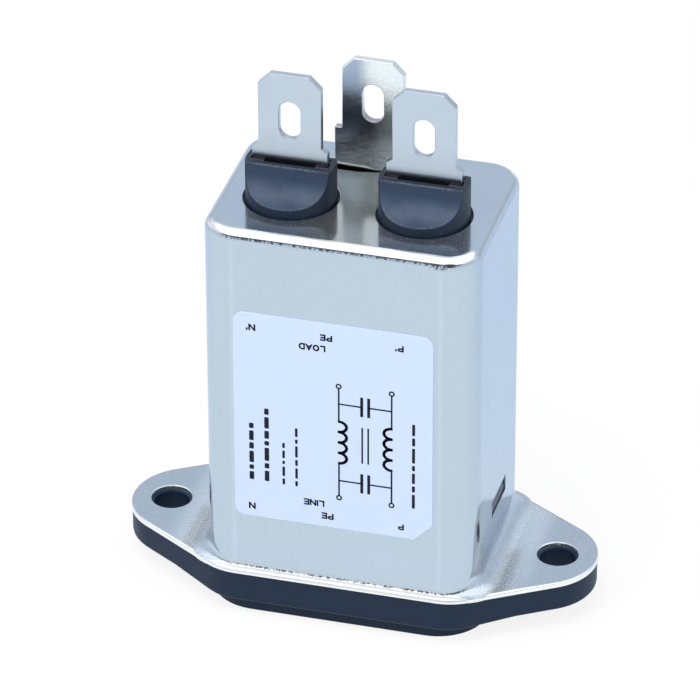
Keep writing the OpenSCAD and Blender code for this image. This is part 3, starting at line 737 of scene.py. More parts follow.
def printed_film(name, tint, rough=0.38, shine=0.5):
    """Smooth film or ink."""
    material, finish = new_finish(name)
    weave = finish.noise(0.12, 2.0)
    finish.surface(
        Base_Color=finish.coats(tint, finish.noise(5, 2.0), 0.985, 1.0),
        Roughness=rough + weave * 0.06,
        Specular_IOR_Level=shine,
        Normal=finish.bump(weave, 0.002),
    )
    return material


def plain_finish(name, tint, metallic, rough, grain=0.5, depth=0.01):
    """Finish of an inner piece: a tone with a grain."""
    material, finish = new_finish(name)
    specks = finish.noise(grain, 3.0)
    finish.surface(
        Base_Color=finish.coats(tint, specks, 0.85, 1.1),
        Metallic=metallic,
        Roughness=rough + specks * 0.1,
        Normal=finish.bump(specks, depth),
    )
    return material


# Can


def can_samples(sizes):
    """Places round the can's section: corner centre, outward direction and window side."""
    x, y = sizes.can_width / 2 - sizes.corner, sizes.can_depth / 2 - sizes.corner
    low, high = (sizes.window_back + side * sizes.window_width / 2 for side in (-1, 1))
    long = [x * i / 8 for i in range(-8, 9)]
    short = [-y, (low - y) / 2, low, (low + high) / 2, high, (high + y) / 2, y]
    corner = [(math.cos(a), math.sin(a)) for a in (QUARTER * i / 14 for i in range(1, 14))]
    samples = [(x, place, 1, 0) for place in short]
    samples += [(x, y, along, off) for along, off in corner]
    samples += [(-place, y, 0, 1) for place in long]
    samples += [(-x, y, -off, along) for along, off in corner]
    samples += [(-x, place, -1, 0) for place in reversed(short)]
    samples += [(-x, -y, -along, -off) for along, off in corner]
    samples += [(place, -y, 0, -1) for place in long]
    samples += [(x, -y, off, -along) for along, off in corner]
    return samples


def build_can(sizes, material):
    """The drawn can and its flange as one sheet with a true inside."""
    low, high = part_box("filter_can")
    bottom, top = low[2], high[2]
    deck = bottom + sizes.sheet
    window_low = deck + sizes.window_up
    window_high = window_low + sizes.window_height
    samples = can_samples(sizes)
    skin = Skin()
    bend_steps, wall_steps = 8, 6
    turns = [QUARTER * i / bend_steps for i in range(bend_steps + 1)]

    def section(out, height):
        """A ring round the can; out and height depend on the bend at its foot."""
        points = []
        for x, y, dx, dy in samples:
            bend = sizes.front_bend + (sizes.end_bend - sizes.front_bend) * dx**2
            reach = sizes.corner + out(bend)
            points.append((x + dx * reach, y + dy * reach, height(bend)))
        return skin.ring(points)

    def wall(inset):
        """Rings from the top's flat face down to the flange, for one face of the sheet."""
        edge, brim = sizes.top_edge, sizes.top_edge - inset
        rings = [
            section(
                lambda bend: brim * math.sin(a) - edge, lambda bend: top - edge + brim * math.cos(a)
            )
            for a in turns
        ]
        steps = [top + (window_high - top) * i / wall_steps for i in range(1, wall_steps)]
        rings += [
            section(lambda bend: -inset, lambda bend: z) for z in steps + [window_high, window_low]
        ]
        rings += [
            section(
                lambda bend: bend - (bend + inset) * math.cos(a),
                lambda bend: deck + bend - (bend + inset) * math.sin(a),
            )
            for a in turns
        ]
        return rings

    def in_window(i):
        """Whether the strip from one place to the next lies in a window."""
        _, y, dx, _ = samples[i]
        other = samples[(i + 1) % len(samples)]
        flat_end = abs(dx) == 1 and dx == other[2]
        far = max(abs(place - sizes.window_back) for place in (y, other[1]))
        return flat_end and far <= sizes.window_width / 2 + 0.001 * MM

    window = {i for i in range(len(samples)) if in_window(i)}
    outer, inner = wall(0), wall(sizes.sheet)
    upper = len(turns) + wall_steps - 1
    for rings in (outer, inner):
        for number in range(len(rings) - 1):
            skin.band(rings[number], rings[number + 1], window if number == upper else ())
    for side in (1, -1):
        run = [i for i in sorted(window) if samples[i][2] == side]
        columns = run + [run[-1] + 1]
        loops = [
            [rings[upper][i] for i in columns] + [rings[upper + 1][i] for i in reversed(columns)]
            for rings in (outer, inner)
        ]
        skin.band(*loops)

    # Openings in the top, with slightly rounded edges
    tops, roofs = [outer[0]], [inner[0]]
    holes = []
    for node in ("line_tab", "neutral_tab"):
        place = middle(node)
        opening = sizes.insulator + 2 * sizes.insulator_gap
        holes.append(circle((place.x, place.y), opening, steps=64))
    place = middle("earth_tab", upper_part=True)
    slot = (
        (-4.2, -0.88, 0.2), (-1.1, -0.86, 1.5), (0.6, -0.47, 1.2),
        (4.2, -0.53, 0.1), (4.2, 0.66, 0.2), (-4.2, 0.66, 0.2),
    )
    outline = [(place.x + across * MM, place.y + back * MM) for across, back, _ in slot]
    holes.append(soft_corners(outline, [radius * MM for _, _, radius in slot], steps=4))
    for hole in holes:
        rings = skin.tube(hole, upper_edge(BURR, top)[::-1] + [(0, top - sizes.sheet)], -1)
        tops.append(rings[0])
        roofs.append(rings[-1])
    skin.flat(tops)
    skin.flat(roofs, DOWN)

    # Flange, from its upper face round the rolled edge to its underside. The edge is rounder
    # along the front and back than round the ears.
    decks, unders = [outer[-1]], [inner[-1]]
    ear_edge, front_edge, hole_edge = 0.2 * MM, 0.44 * MM, 0.14 * MM
    ear_reach, change = 8.6, 2.2
    loops = [(diamond(sizes, metal_depth(), 0), 1, ear_edge, front_edge)]
    for side in (-1, 1):
        hole = circle((side * sizes.hole_pitch / 2, 0), sizes.hole)
        loops.append((hole, -1, hole_edge, hole_edge))
    for loop, side, small, large in loops:
        inwards = [Vector(a) - Vector(b) for a, b in zip(inset_loop(loop, side * MM), loop)]
        rings = []
        for inset, drop in edge_arc(1.0, steps=6):
            points = []
            for (x, y), direction in zip(loop, inwards):
                share = min(1, max(0, (abs(y) / MM - ear_reach) / change))
                size = small + (large - small) * share * share * (3 - 2 * share)
                x, y = Vector((x, y)) + direction * inset * size / MM
                points.append((x, y, deck - drop * size))
            rings.append(skin.ring(points))
        rings.append(skin.ring([(x, y, bottom) for x, y in loop]))
        skin.bands(rings)
        decks.append(rings[0])
        unders.append(rings[-1])
    skin.flat(decks)
    skin.flat(unders, DOWN)
    skin.piece("drawn_can", material, "can_metal", ["filter_can"], angle=30)


def middle(node, upper_part=False):
    """Middle of a node's box; for the earth tab, of its upright part alone."""
    low, high = (Vector(corner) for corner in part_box(node))
    centre = (low + high) / 2
    if upper_part:
        tips = [v.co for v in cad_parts[node].data.vertices if v.co.z > high.z - 2 * MM]
        centre.x = sum(p.x for p in tips) / len(tips)
        centre.y = sum(p.y for p in tips) / len(tips)
    return centre


# Inlet moulding


def socket_outline(sizes):
    """Mouth of the socket, with its two cut corners on the earth side."""
    x, y, off = sizes.socket_width / 2, sizes.socket_depth / 2, sizes.socket_cut
    points = [(-x, -y), (x, -y), (x, y - off), (x - off, y), (off - x, y), (-x, y - off)]
    return soft_corners(points, 0.5 * MM, steps=4)


def build_inlet(sizes, material):
    """The black moulding: rim, plate, housing, socket and latch noses in one."""
    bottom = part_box("inlet_body")[0][2]
    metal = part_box("filter_can")[0][2]
    rim_top = bottom + sizes.rim_height - sizes.bezel
    house_top = sizes.socket_height + sizes.floor
    inside = sizes.sheet + 0.2 * MM
    skin = Skin()
    rim = soft_corners(box_outline(sizes.rim_width, sizes.rim_depth), sizes.rim_corner, steps=14)
    plate = diamond(sizes, metal_depth(), 0.1 * MM)
    house = box_outline(sizes.can_width - 2 * inside, sizes.can_depth - 2 * inside)
    house = soft_corners(house, sizes.corner - inside, steps=12)
    brow = upper_edge(BURR, metal, steps=2)
    rims = skin.tube(rim, lower_edge(0.2 * MM, bottom, steps=4) + [(0, rim_top)])
    plates = skin.tube(plate, lower_edge(0.35 * MM, rim_top, steps=4) + brow)
    holes = []
    for side in (-1, 1):
        hole = circle((side * sizes.hole_pitch / 2, 0), sizes.plate_hole, steps=40)
        holes.append(skin.tube(hole, lower_edge(BURR, rim_top, steps=2) + brow, -1))
    houses = skin.tube(house, [(0, metal)] + upper_edge(BURR, house_top, steps=2))
    roof = [(0, bottom + sizes.socket_height)]
    mouths = skin.tube(socket_outline(sizes), lower_edge(0.4 * MM, bottom) + roof, -1)
    skin.flat([rims[0], mouths[0]], DOWN)
    skin.flat([plates[0], rims[-1]] + [hole[0] for hole in holes], DOWN)
    skin.flat([plates[-1], houses[0]] + [hole[-1] for hole in holes])
    skin.flat([houses[-1]])
    skin.flat([mouths[-1]], DOWN)

    # The underside of the plate rises from the bezel to the ears
    for x in (-sizes.bezel_out, -sizes.bezel_in, sizes.bezel_in, sizes.bezel_out):
        everything = [*skin.bm.verts, *skin.bm.edges, *skin.bm.faces]
        bmesh.ops.bisect_plane(skin.bm, geom=everything, plane_co=(x, 0, 0), plane_no=(1, 0, 0))
    for corner in skin.bm.verts:
        if rim_top - 0.1 * MM < corner.co.z < rim_top + 0.4 * MM:
            run = (abs(corner.co.x) - sizes.bezel_in) / (sizes.bezel_out - sizes.bezel_in)
            corner.co.z += sizes.bezel * min(1, max(0, run))
    for side in (-1, 1):
        latch_nose(skin, sizes, metal + sizes.sheet, side)
    made = skin.piece("inlet_moulding", material, "inlet_plastic", ["inlet_body"])
    slots = []
    for name in ("line_pin", "neutral_pin", "earth_pin"):
        a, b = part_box(name)
        centre = ((a[0] + b[0]) / 2, (a[1] + b[1]) / 2)
        low, high = sizes.socket_height - MM, house_top + MM
        slots.append(block(b[0] - a[0], b[1] - a[1], low, high, centre))
    cut(made, slots)


def metal_depth():
    """Depth of the metal flange."""
    low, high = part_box("filter_can")
    return high[1] - low[1]


def latch_nose(skin, sizes, deck, side):
    """A snap nose with a sloping face, in the window of one end wall."""
    gap = 0.15 * MM
    low = deck + sizes.window_up + gap
    high = low + sizes.window_height - 2 * gap
    root = sizes.can_width / 2 - sizes.sheet - 1.2 * MM
    tip = sizes.can_width / 2 - gap
    back = sizes.can_width / 2 - sizes.sheet
    profile = [(root, low), (tip, low), (tip, low + (high - low) / 3), (back, high), (root, high)]
    profile = soft_corners(profile, [0, 0.1 * MM, BURR, 0, 0], steps=3)
    half = sizes.window_width / 2 - gap

    def across(x, y, z):
        return (side * x, z + sizes.window_back, y)

    skin.plate([profile], -half, half, (0.08 * MM, 0.08 * MM), across)


# Bushings and blades


def build_bushing(sizes, node, name, material):
    """A round bushing with a hollow in front and behind, and a pocket for the blade."""
    low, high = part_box(node)
    centre = middle(node)
    top, radius, ridge = high[2], sizes.insulator / 2, sizes.ridge / 2
    edge, collar_up, seat = 0.14 * MM, 0.8 * MM, 1.6 * MM
    reach = radius - edge
    axis = ridge + sizes.hollow
    columns = 24

    def height(y):
        """Height of the top across the ridge and its hollows."""
        far = abs(y)
        if far <= ridge - edge:
            return top
        if far <= ridge:
            run = far - (ridge - edge)
            return top - edge + math.sqrt(max(0, edge**2 - run**2))
        return top - math.sqrt(max(0, sizes.hollow**2 - (axis - far) ** 2))

    rows = [axis - sizes.hollow * math.cos(math.radians(a)) for a in range(9, 85, 3)]
    rows += [ridge - edge * (1 - math.cos(math.radians(a))) for a in (0, 30, 60, 90)]
    rows += [place * MM for place in (1.1, 0.8, 0.5, 0.2)]
    rows = sorted(rows + [-row for row in rows])
    skin = Skin()
    grid = []
    for y in rows:
        half = math.sqrt(reach**2 - y**2)
        spread = [math.sin(QUARTER * (2 * i / columns - 1)) * half for i in range(columns + 1)]
        grid.append(skin.ring([(centre.x + x, centre.y + y, height(y)) for x in spread]))
    for first, second in zip(grid, grid[1:]):
        for i in range(columns):
            skin.bm.faces.new((first[i], first[i + 1], second[i + 1], second[i]))
    front = skin.bm.verts.new((centre.x, centre.y - reach, height(reach)))
    back = skin.bm.verts.new((centre.x, centre.y + reach, height(reach)))
    for i in range(columns):
        skin.bm.faces.new((front, grid[0][i + 1], grid[0][i]))
        skin.bm.faces.new((back, grid[-1][i], grid[-1][i + 1]))
    rim = [front] + [row[-1] for row in grid] + [back] + [row[0] for row in reversed(grid)]
    places = [(v.co.z, math.atan2(v.co.y - centre.y, v.co.x - centre.x)) for v in rim]

    def round_ring(distance, drop=0, z=None):
        """A ring round the bushing, at a height or a drop below the top's own rim."""
        return skin.ring(
            [
                (
                    centre.x + distance * math.cos(a),
                    centre.y + distance * math.sin(a),
                    up - drop if z is None else z,
                )
                for up, a in places
            ]
        )

    rings = [rim]
    for i in range(1, 5):
        a = QUARTER * i / 4
        rings.append(round_ring(reach + edge * math.sin(a), edge * (1 - math.cos(a))))
    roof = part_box("filter_can")[1][2] - sizes.sheet
    collar, under = sizes.collar / 2, low[2] + collar_up
    profile = ((radius, roof), (collar, roof), (collar, under), (radius, under), (radius, low[2]))
    rings += [round_ring(distance, z=z) for distance, z in profile]
    skin.bands(rings)
    skin.flat([rings[-1]], DOWN)
    made = skin.piece(name, material, "bushing_plastic", [node])
    wide, narrow = sizes.shoulder + 0.2 * MM, sizes.stem + 0.1 * MM
    snug = sizes.blade + 0.1 * MM
    cuts = (
        (wide, sizes.pocket, top - sizes.pocket_step), (narrow, sizes.pocket, top - seat),
        (wide, snug, top - seat), (narrow, snug, low[2] - MM),
    )
    place = (centre.x, centre.y)
    cut(made, [block(width, depth, floor, top + MM, place) for width, depth, floor in cuts])


def eye_outline(sizes, up):
    """The long round hole in a blade, with its middle at a height."""
    half, radius = (sizes.eye_height - sizes.eye_width) / 2, sizes.eye_width / 2
    points = arc((0, up + half), radius, 0, math.pi, steps=16)
    return points + arc((0, up - half), radius, math.pi, 2 * math.pi, steps=16)


def both_halves(right):
    """An anticlockwise outline from its right half, listed from top to bottom."""
    return [(-x, y) for x, y in right] + [(x, y) for x, y in reversed(right)]


def build_load_blade(sizes, node, name, material):
    """A stamped blade with its shoulder and its stem."""
    low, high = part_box(node)
    centre = middle(node)
    tip, foot = high[2], low[2]
    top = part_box("line_bushing")[1][2]
    neck, shoulder, seat = top + 1.75 * MM, top + 1.3 * MM, top - 1.55 * MM
    x, wide, narrow = sizes.blade_width / 2, sizes.shoulder / 2, sizes.stem / 2
    right = [
        (x - sizes.tip_cut, tip), (x, tip - sizes.tip_cut), (x, neck), (wide, shoulder),
        (wide, seat), (narrow, seat), (narrow, foot),
    ]
    outline = soft_corners(both_halves(right), BURR, steps=3)
    eye = eye_outline(sizes, tip - sizes.eye_down)
    wire_hole = circle((0, foot + 1.2 * MM), 1.4 * MM, steps=24)

    def lift(px, py, pz):
        return (centre.x + px, centre.y - pz, py)

    skin = Skin()
    half = sizes.blade / 2
    skin.plate([outline, eye, wire_hole], -half, half, (0.1 * MM, 0.1 * MM), lift)
    skin.piece(name, material, "tab_metal", [node])


def build_earth_blade(sizes, material):
    """The taller blade behind, on its wide step, turned a little, with its welded foot."""
    low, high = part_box("earth_tab")
    centre = middle("earth_tab", upper_part=True)
    centre.z = 0
    tip, base = high[2], low[2]
    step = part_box("filter_can")[1][2] + 4.3 * MM
    x, foot, pad_depth = sizes.blade_width / 2, 3.9 * MM, 3.2 * MM
    right = [
        (x - sizes.tip_cut, tip), (x, tip - sizes.tip_cut), (x, step), (foot, step), (foot, base),
    ]
    outline = soft_corners(both_halves(right), [BURR] * 4 + [0] * 2 + [BURR] * 4, steps=3)
    turn = Matrix.Rotation(math.radians(-1.5), 3, "Z")

    def lift(px, py, pz):
        return centre + turn @ Vector((px, -pz, py))

    def foot_lift(px, py, pz):
        return centre + turn @ Vector((px, py, pz))

    skin = Skin()
    half = sizes.blade / 2
    eye = eye_outline(sizes, tip - sizes.earth_eye_down)
    skin.plate([outline, eye], -half, half, (0.1 * MM, 0.1 * MM), lift)
    pad = box_outline(2 * foot, pad_depth, (0, half + pad_depth / 2))
    skin.plate([pad], base, base + sizes.blade, (0.08 * MM, 0.08 * MM), foot_lift)
    skin.piece("earth_blade", material, "earth_metal", ["earth_tab"])


# Label


def build_label(sizes, material):
    """The label: a thin film with one bevelled corner."""
    low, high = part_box("label")
    off, soft, crisp = sizes.label_cut, sizes.label_corner, 0.4 * MM
    points = [
        (low[0], low[2]), (high[0] - off, low[2]), (high[0], low[2] + off),
        (high[0], high[2]), (low[0], high[2]),
    ]
    outline = soft_corners(points, [soft, crisp, crisp, soft, soft])
    skin = Skin()
    face, film = -low[1], 0.1 * MM
    skin.plate([outline], face - film, face, (0, 0.03 * MM), upright)
    skin.piece("label_film", material, "label_film", ["label"])


# Letters of the terminal marks, as strokes in a cell one unit high
BOWL = [(0, 1), (0.36, 1), (0.5, 0.93), (0.56, 0.77), (0.5, 0.6), (0.36, 0.53), (0, 0.53)]
EIGHTHS = [i * math.pi / 8 for i in range(17)]
LETTERS = {
    "N": [[(0, 0), (0, 1), (0.6, 0), (0.6, 1)]],
    "P": [[(0, 0), (0, 1)], BOWL],
    "E": [[(0.52, 0), (0, 0), (0, 1), (0.52, 1)], [(0, 0.52), (0.46, 0.52)]],
    "L": [[(0, 1), (0, 0), (0.5, 0)]],
    "I": [[(0, 0), (0, 1)]],
    "O": [[(0.3 - 0.3 * math.sin(a), 0.5 + 0.5 * math.cos(a)) for a in EIGHTHS]],
    "A": [[(0, 0), (0.32, 1), (0.64, 0)], [(0.1, 0.33), (0.54, 0.33)]],
    "D": [[(0, 0), (0, 1), (0.3, 1), (0.5, 0.86), (0.58, 0.5), (0.5, 0.14), (0.3, 0), (0, 0)]],
    "'": [[(0.05, 1), (0.0, 0.75)]],
}


def letter_width(letter):
    """Width of a letter in its cell."""
    return max(x for stroke in LETTERS[letter] for x, _ in stroke)


class Marks:
    """Thin flat print on the label, drawn in the label's own plane."""

    def __init__(self, face):
        self.skin = Skin()
        self.face = face

    def shape(self, loops):
        """One printed shape; loops after the first are its holes."""
        painted_slot_shade, proud = 0.02 * MM, 0.008 * MM
        self.skin.plate(loops, self.face - painted_slot_shade, self.face + proud, lift=upright)

    def bar(self, centre, width, height):
        """A filled bar."""
        self.shape([soft_corners(box_outline(width, height, centre), 0.1 * MM, steps=4)])

    def line(self, first, second, width):
        """One straight stroke."""
        a, b = Vector(first), Vector(second)
        along = (b - a).normalized()
        side = Vector((-along.y, along.x)) * width / 2
        a, b = a - along * width * 0.35, b + along * width * 0.35
        self.shape([[tuple(corner) for corner in (a - side, b - side, b + side, a + side)]])

    def path(self, points, width):
        """Straight strokes from point to point."""
        for a, b in zip(points, points[1:]):
            self.line(a, b, width)

    def word(self, text, centre, height):
        """A word in plain strokes, centred, standing on its head as the label does."""
        gap, wide, stroke = 0.26, 1.45, 0.3
        start = (sum(letter_width(c) for c in text) + gap * (len(text) - 1)) / 2
        for letter in text:
            for points in LETTERS[letter]:
                places = [(wide * (start - x), 0.5 - y) for x, y in points]
                places = [(centre[0] + x * height, centre[1] + y * height) for x, y in places]
                self.path(places, stroke * height)
            start -= letter_width(letter) + gap


def build_marks(material):
    """Print on the label: plain terminal marks, a plain circuit drawing and ruled dashes."""
    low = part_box("label")[0]
    marks = Marks(-low[1])

    def at(across, up):
        """A place on the label, in millimetres from its lower left corner."""
        return (low[0] + across * MM, low[2] + up * MM)

    for text, across, up, tall in (
        ("N'", 1.8, 21.72, 0.6), ("PE", 9.35, 21.68, 0.56), ("LOAD", 7.95, 20.4, 0.56),
        ("P'", 16.65, 21.65, 0.56), ("N", 1.75, 1.2, 0.6), ("LINE", 8.05, 2.6, 0.56),
        ("PE", 9.42, 1.25, 0.56), ("P", 16.85, 1.25, 0.56),
    ):
        marks.word(text, at(across, up), tall * MM)
    gap = 0.28
    for across, wide, start, dashes in (
        (1.75, 0.46, 4.3, (0.9, 0.5, 1.3, 0.7, 1.1, 0.6)),
        (3.3, 0.46, 4.3, (1.2, 0.6, 1.5, 0.5, 0.9, 1.3, 0.7)),
        (5.0, 0.26, 4.2, (0.7, 1.1, 0.4, 0.9, 0.6)),
        (6.3, 0.26, 4.2, (0.6, 1.2, 0.7, 1.3, 0.5, 1.0)),
        (18.1, 0.3, 3.6, (1.6, 0.7, 1.2, 0.6, 1.7, 0.9, 1.3)),
    ):
        for dash in dashes:
            marks.bar(at(across, start + dash / 2), wide * MM, dash * MM)
            start += dash + gap
    build_circuit(marks, at)
    marks.skin.piece("label_marks", material, "label_film")


def build_circuit(marks, at):
    """A plain drawing of two wires with a coil in each and two capacitors between them."""
    thin, bold = 0.17 * MM, 0.3 * MM
    wires, plates = (10.6, 15.9), (12.9, 13.6)
    for across, side in zip(wires, (1, -1)):
        for low, high in ((3.9, 7.6), (12.4, 16.1)):
            marks.path([at(across, low), at(across, high)], thin)
        for turn in range(4):
            up = 8.2 + 1.2 * turn
            hump = arc((0, 0), 0.6, -QUARTER, QUARTER, steps=8)
            marks.path([at(across + side * x * 1.3, up + y) for x, y in hump], bold)
        for up in (3.6, 16.4):
            marks.shape([circle(at(across, up), wide * MM, steps=16) for wide in (0.62, 0.3)])
    for across in (12.95, 13.55):
        marks.path([at(across, 8.0), at(across, 12.0)], thin)
    for up in (5.6, 14.4):
        for wire, plate in zip(wires, plates):
            marks.path([at(wire, up), at(plate, up)], thin)
            marks.path([at(plate, up - 1.0), at(plate, up + 1.0)], bold)


# Inner parts


def finish_inner_parts():
    """Finishes of the pieces that stay as the frame has them."""
    metal = rolled_plating("pin plating", (0.70, 0.69, 0.66), painted_slot_shade=0.0)
    wire = plain_finish("enamelled wire", (0.42, 0.13, 0.05), 0.3, 0.3)
    finishes = {
        "line_pin": metal,
        "neutral_pin": metal,
        "earth_pin": metal,
        "insulating_sleeve": plain_finish("sleeve film", (0.015, 0.016, 0.02), 0, 0.5),
        "circuit_board": plain_finish("board laminate", (0.02, 0.1, 0.04), 0, 0.4),
        "choke_core": plain_finish("ferrite", (0.03, 0.03, 0.035), 0, 0.6, 0.3, 0.02),
        "choke_divider": plain_finish("divider plastic", (0.6, 0.57, 0.46), 0, 0.5),
        "line_winding": wire,
        "neutral_winding": wire,
        "x_capacitor": plain_finish("capacitor case", (0.6, 0.4, 0.04), 0, 0.35),
        "line_y_capacitor": plain_finish("disc coating", (0.02, 0.1, 0.35), 0, 0.3),
        "neutral_y_capacitor": plain_finish("disc coating back", (0.02, 0.1, 0.35), 0, 0.3),
        "bleed_resistor": plain_finish("resistor lacquer", (0.4, 0.3, 0.17), 0, 0.4),
        "line_load_wire": plain_finish("brown insulation", (0.16, 0.06, 0.02), 0, 0.45),
        "neutral_load_wire": plain_finish("blue insulation", (0.02, 0.08, 0.3), 0, 0.45),
        "earth_strap": plain_finish("strap brass", (0.6, 0.4, 0.13), 1, 0.3),
        "solder_joints": plain_finish("solder", (0.5, 0.52, 0.54), 1, 0.35),
    }
    for node, material in finishes.items():
        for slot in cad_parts[node].material_slots:
            slot.material = material


# Studio


def studio_floor():
    """A wide white floor that shows as white and keeps a soft shadow."""
    mesh = bpy.data.meshes.new("studio_floor")
    bm = bmesh.new()
    bmesh.ops.create_grid(bm, x_segments=8, y_segments=8, size=6)
    bm.to_mesh(mesh)
    bm.free()
    made = new_object("studio_floor", mesh)
    material, finish = new_finish("white table")
    lit = finish.node("ShaderNodeBsdfDiffuse", inputs={"Color": rgba((0.8, 0.8, 0.8))})
    glow = finish.node("ShaderNodeEmission", inputs={"Color": rgba((1, 1, 1)), "Strength": 1.0})
    behind = finish.axes()[1].between(-0.03, 0.06)
    tint = finish.blend(behind, (0.86, 0.945, 1.0), (0.635, 0.775, 0.97))
    sheen = finish.node("ShaderNodeEmission", inputs={"Color": tint, "Strength": 1.0})
    seen, mirrored = finish.ray("Camera") * 0.86, finish.ray("Glossy") * 0.85
    mixed = finish.node("ShaderNodeMixShader", inputs={0: seen, 1: lit, 2: glow})
    mixed = finish.node("ShaderNodeMixShader", inputs={0: mirrored, 1: mixed, 2: sheen})
    finish.node("ShaderNodeOutputMaterial", inputs={"Surface": mixed})
    made.data.materials.append(material)


def studio_world():
    """A white background. Round about is a plain room: bright ceiling, duller far wall, and a
    dark slit and opening on the viewer's side."""
    world = bpy.data.worlds.new("plain room")
    bpy.context.scene.world = world
    finish = Finish(world)
    x, y, z = finish.axes("Generated")
    walls = finish.blend(z.between(0.0, 0.4), (0.86, 0.92, 1.0), (0.65, 0.725, 0.83))
    dull = y.between(0.3, 0.6) * z.between(0.02, 0.12) * (1 - z.between(0.24, 0.4))
    walls = finish.blend(dull * 0.4, walls, (0.3, 0.31, 0.33))
    room = finish.blend(z.between(0.6, 0.69), walls, (1, 1, 1))
    gaze = (0.226, -0.821, 0.524)  # the part of the room that the front's round edges mirror
    toward = x * gaze[0] + y * gaze[1] + z * gaze[2]
    slit = (1 - abs(z - gaze[2]).between(0.035, 0.1)) * (0 - y).between(0.4, 0.6)
    dark = finish.most(slit, toward.between(0.92, 0.975))
    room = finish.blend(dark, room, (0.03, 0.035, 0.04))
    glossy = finish.ray("Glossy")
    tone = finish.blend(glossy, (0.5, 0.5, 0.5), room)
    tone = finish.blend(finish.ray("Camera"), tone, (1, 1, 1))
    ceiling = glossy * z.between(0.6, 0.72) * 0.45
    shine = finish.node("ShaderNodeBackground", inputs={"Color": tone, "Strength": ceiling + 1.0})
    finish.node("ShaderNodeOutputWorld", inputs={"Surface": shine})


def lamp(name, place, aim, width, power):
    """A soft square lamp."""
    data = bpy.data.lights.new(name, "AREA")
    data.shape = "SQUARE"
    data.size = width
    data.energy = power
    made = new_object(name, data)
    made.location = place
    made.rotation_euler = (Vector(aim) - Vector(place)).to_track_quat("-Z", "Y").to_euler()
    made.visible_glossy = False


def studio_camera():
    """Camera of a long lens, seen from the front, right and above."""
    data = bpy.data.cameras.new("camera")
    data.sensor_width = 36
    data.lens = 293.65
    data.clip_start = 0.05
    data.clip_end = 50
    made = new_object("camera", data)
    right = Vector((0.96445737, 0.26423081, -0.00201629))
    up = Vector((-0.13681635, 0.50588641, 0.85168083))
    back = right.cross(up)
    turn = Matrix((right, up, back)).transposed().to_4x4()
    made.matrix_world = Matrix.Translation((0.125486, -0.460678, 0.319741)) @ turn
    bpy.context.scene.camera = made


# Operators


def settings(context):
    """The sizes and colours that the panel shows."""
    return context.scene.filter_sizes, context.scene.filter_colours


class FILTER_OT_can(bpy.types.Operator):
    """Builds the drawn can with its flange"""

    bl_idname = "filter.can"
    bl_label = "Can and Flange"

    def execute(self, context):
        sizes, colours = settings(context)
        build_can(sizes, drawn_plating(sizes, colours))
        return {"FINISHED"}


class FILTER_OT_inlet(bpy.types.Operator):
    """Builds the black inlet moulding"""

    bl_idname = "filter.inlet"
    bl_label = "Inlet Moulding"

    def execute(self, context):
        sizes, colours = settings(context)
        build_inlet(sizes, fine_moulding("inlet plastic", colours.moulding))
        return {"FINISHED"}


class FILTER_OT_bushings(bpy.types.Operator):
    """Builds the two insulating bushings"""

    bl_idname = "filter.bushings"
    bl_label = "Bushings"

    def execute(self, context):
        sizes, colours = settings(context)
        material = bushing_moulding(sizes, colours.insulator)
        for side in ("line", "neutral"):
            build_bushing(sizes, f"{side}_bushing", f"{side}_insulator", material)
        return {"FINISHED"}


class FILTER_OT_blades(bpy.types.Operator):
    """Builds the three flat blades"""

    bl_idname = "filter.blades"
    bl_label = "Blades"

    def execute(self, context):
        sizes, colours = settings(context)
        tinned = rolled_plating("tinned blade", colours.blade, painted_dark_reflection=0.7)
        for side in ("line", "neutral"):
            build_load_blade(sizes, f"{side}_tab", f"{side}_blade", tinned)
        build_earth_blade(sizes, rolled_plating("plain blade", colours.earth, 0.03, 0.6))
        return {"FINISHED"}


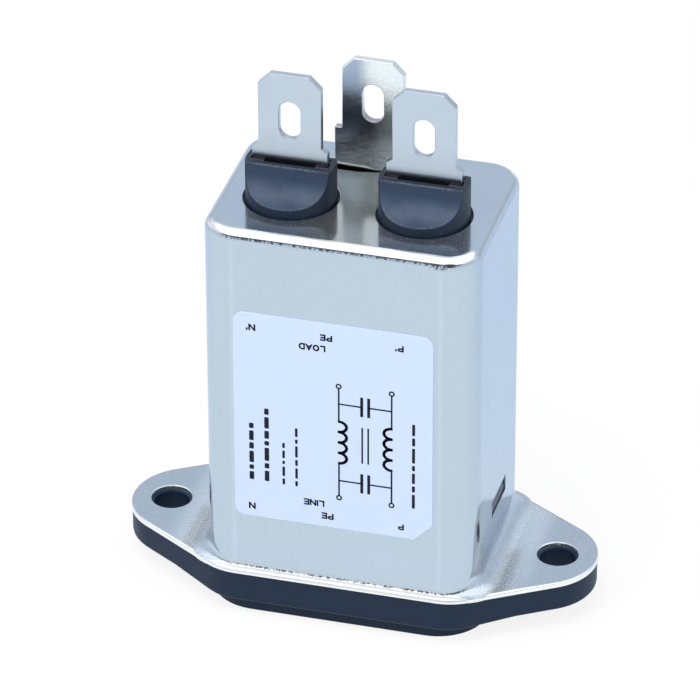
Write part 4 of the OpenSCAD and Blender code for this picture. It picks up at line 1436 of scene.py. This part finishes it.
class FILTER_OT_label(bpy.types.Operator):
    """Builds the label and its plain print"""

    bl_idname = "filter.label"
    bl_label = "Label"

    def execute(self, context):
        sizes, colours = settings(context)
        build_label(sizes, printed_film("label film", colours.film))
        build_marks(printed_film("label ink", colours.ink, 0.5, 0.15))
        return {"FINISHED"}


class FILTER_OT_inner(bpy.types.Operator):
    """Gives the pins and the inner parts their finishes"""

    bl_idname = "filter.inner"
    bl_label = "Pins and Inner Parts"

    def execute(self, context):
        finish_inner_parts()
        return {"FINISHED"}


class FILTER_OT_stage(bpy.types.Operator):
    """Sets up the floor, the room, the lamps and the camera"""

    bl_idname = "filter.stage"
    bl_label = "Studio"

    def execute(self, context):
        studio_camera()
        studio_floor()
        studio_world()
        aim = (0, 0, 0.02)
        lamp("key", (-0.15, -0.35, 0.9), aim, width=0.8, power=10)
        lamp("side", (0.9, -0.1, 0.5), aim, width=0.7, power=3)
        context.scene.view_settings.view_transform = "Standard"
        return {"FINISHED"}


STEPS = (
    FILTER_OT_stage,
    FILTER_OT_can,
    FILTER_OT_inlet,
    FILTER_OT_bushings,
    FILTER_OT_blades,
    FILTER_OT_label,
    FILTER_OT_inner,
)


class FILTER_PT_panel(bpy.types.Panel):
    """Lists the steps, sizes and colours in the 3D view's sidebar"""

    bl_idname = "FILTER_PT_panel"
    bl_label = "Line Filter"
    bl_space_type = "VIEW_3D"
    bl_region_type = "UI"
    bl_category = "Line Filter"

    def draw(self, context):
        for step in STEPS:
            self.layout.operator(step.bl_idname)
        for group in settings(context):
            box = self.layout.box()
            for name in group.__annotations__:
                box.prop(group, name)


CLASSES = (FilterSizes, FilterColours, *STEPS, FILTER_PT_panel)


def register():
    for item in CLASSES:
        bpy.utils.register_class(item)
    bpy.types.Scene.filter_sizes = bpy.props.PointerProperty(type=FilterSizes)
    bpy.types.Scene.filter_colours = bpy.props.PointerProperty(type=FilterColours)


def unregister():
    del bpy.types.Scene.filter_colours
    del bpy.types.Scene.filter_sizes
    for item in reversed(CLASSES):
        bpy.utils.unregister_class(item)


def main():
    """Builds everything in order."""
    register()
    for step in STEPS:
        group, _, name = step.bl_idname.partition(".")
        getattr(getattr(bpy.ops, group), name)()
    bpy.context.view_layer.update()


if __name__ == "__main__":
    main()
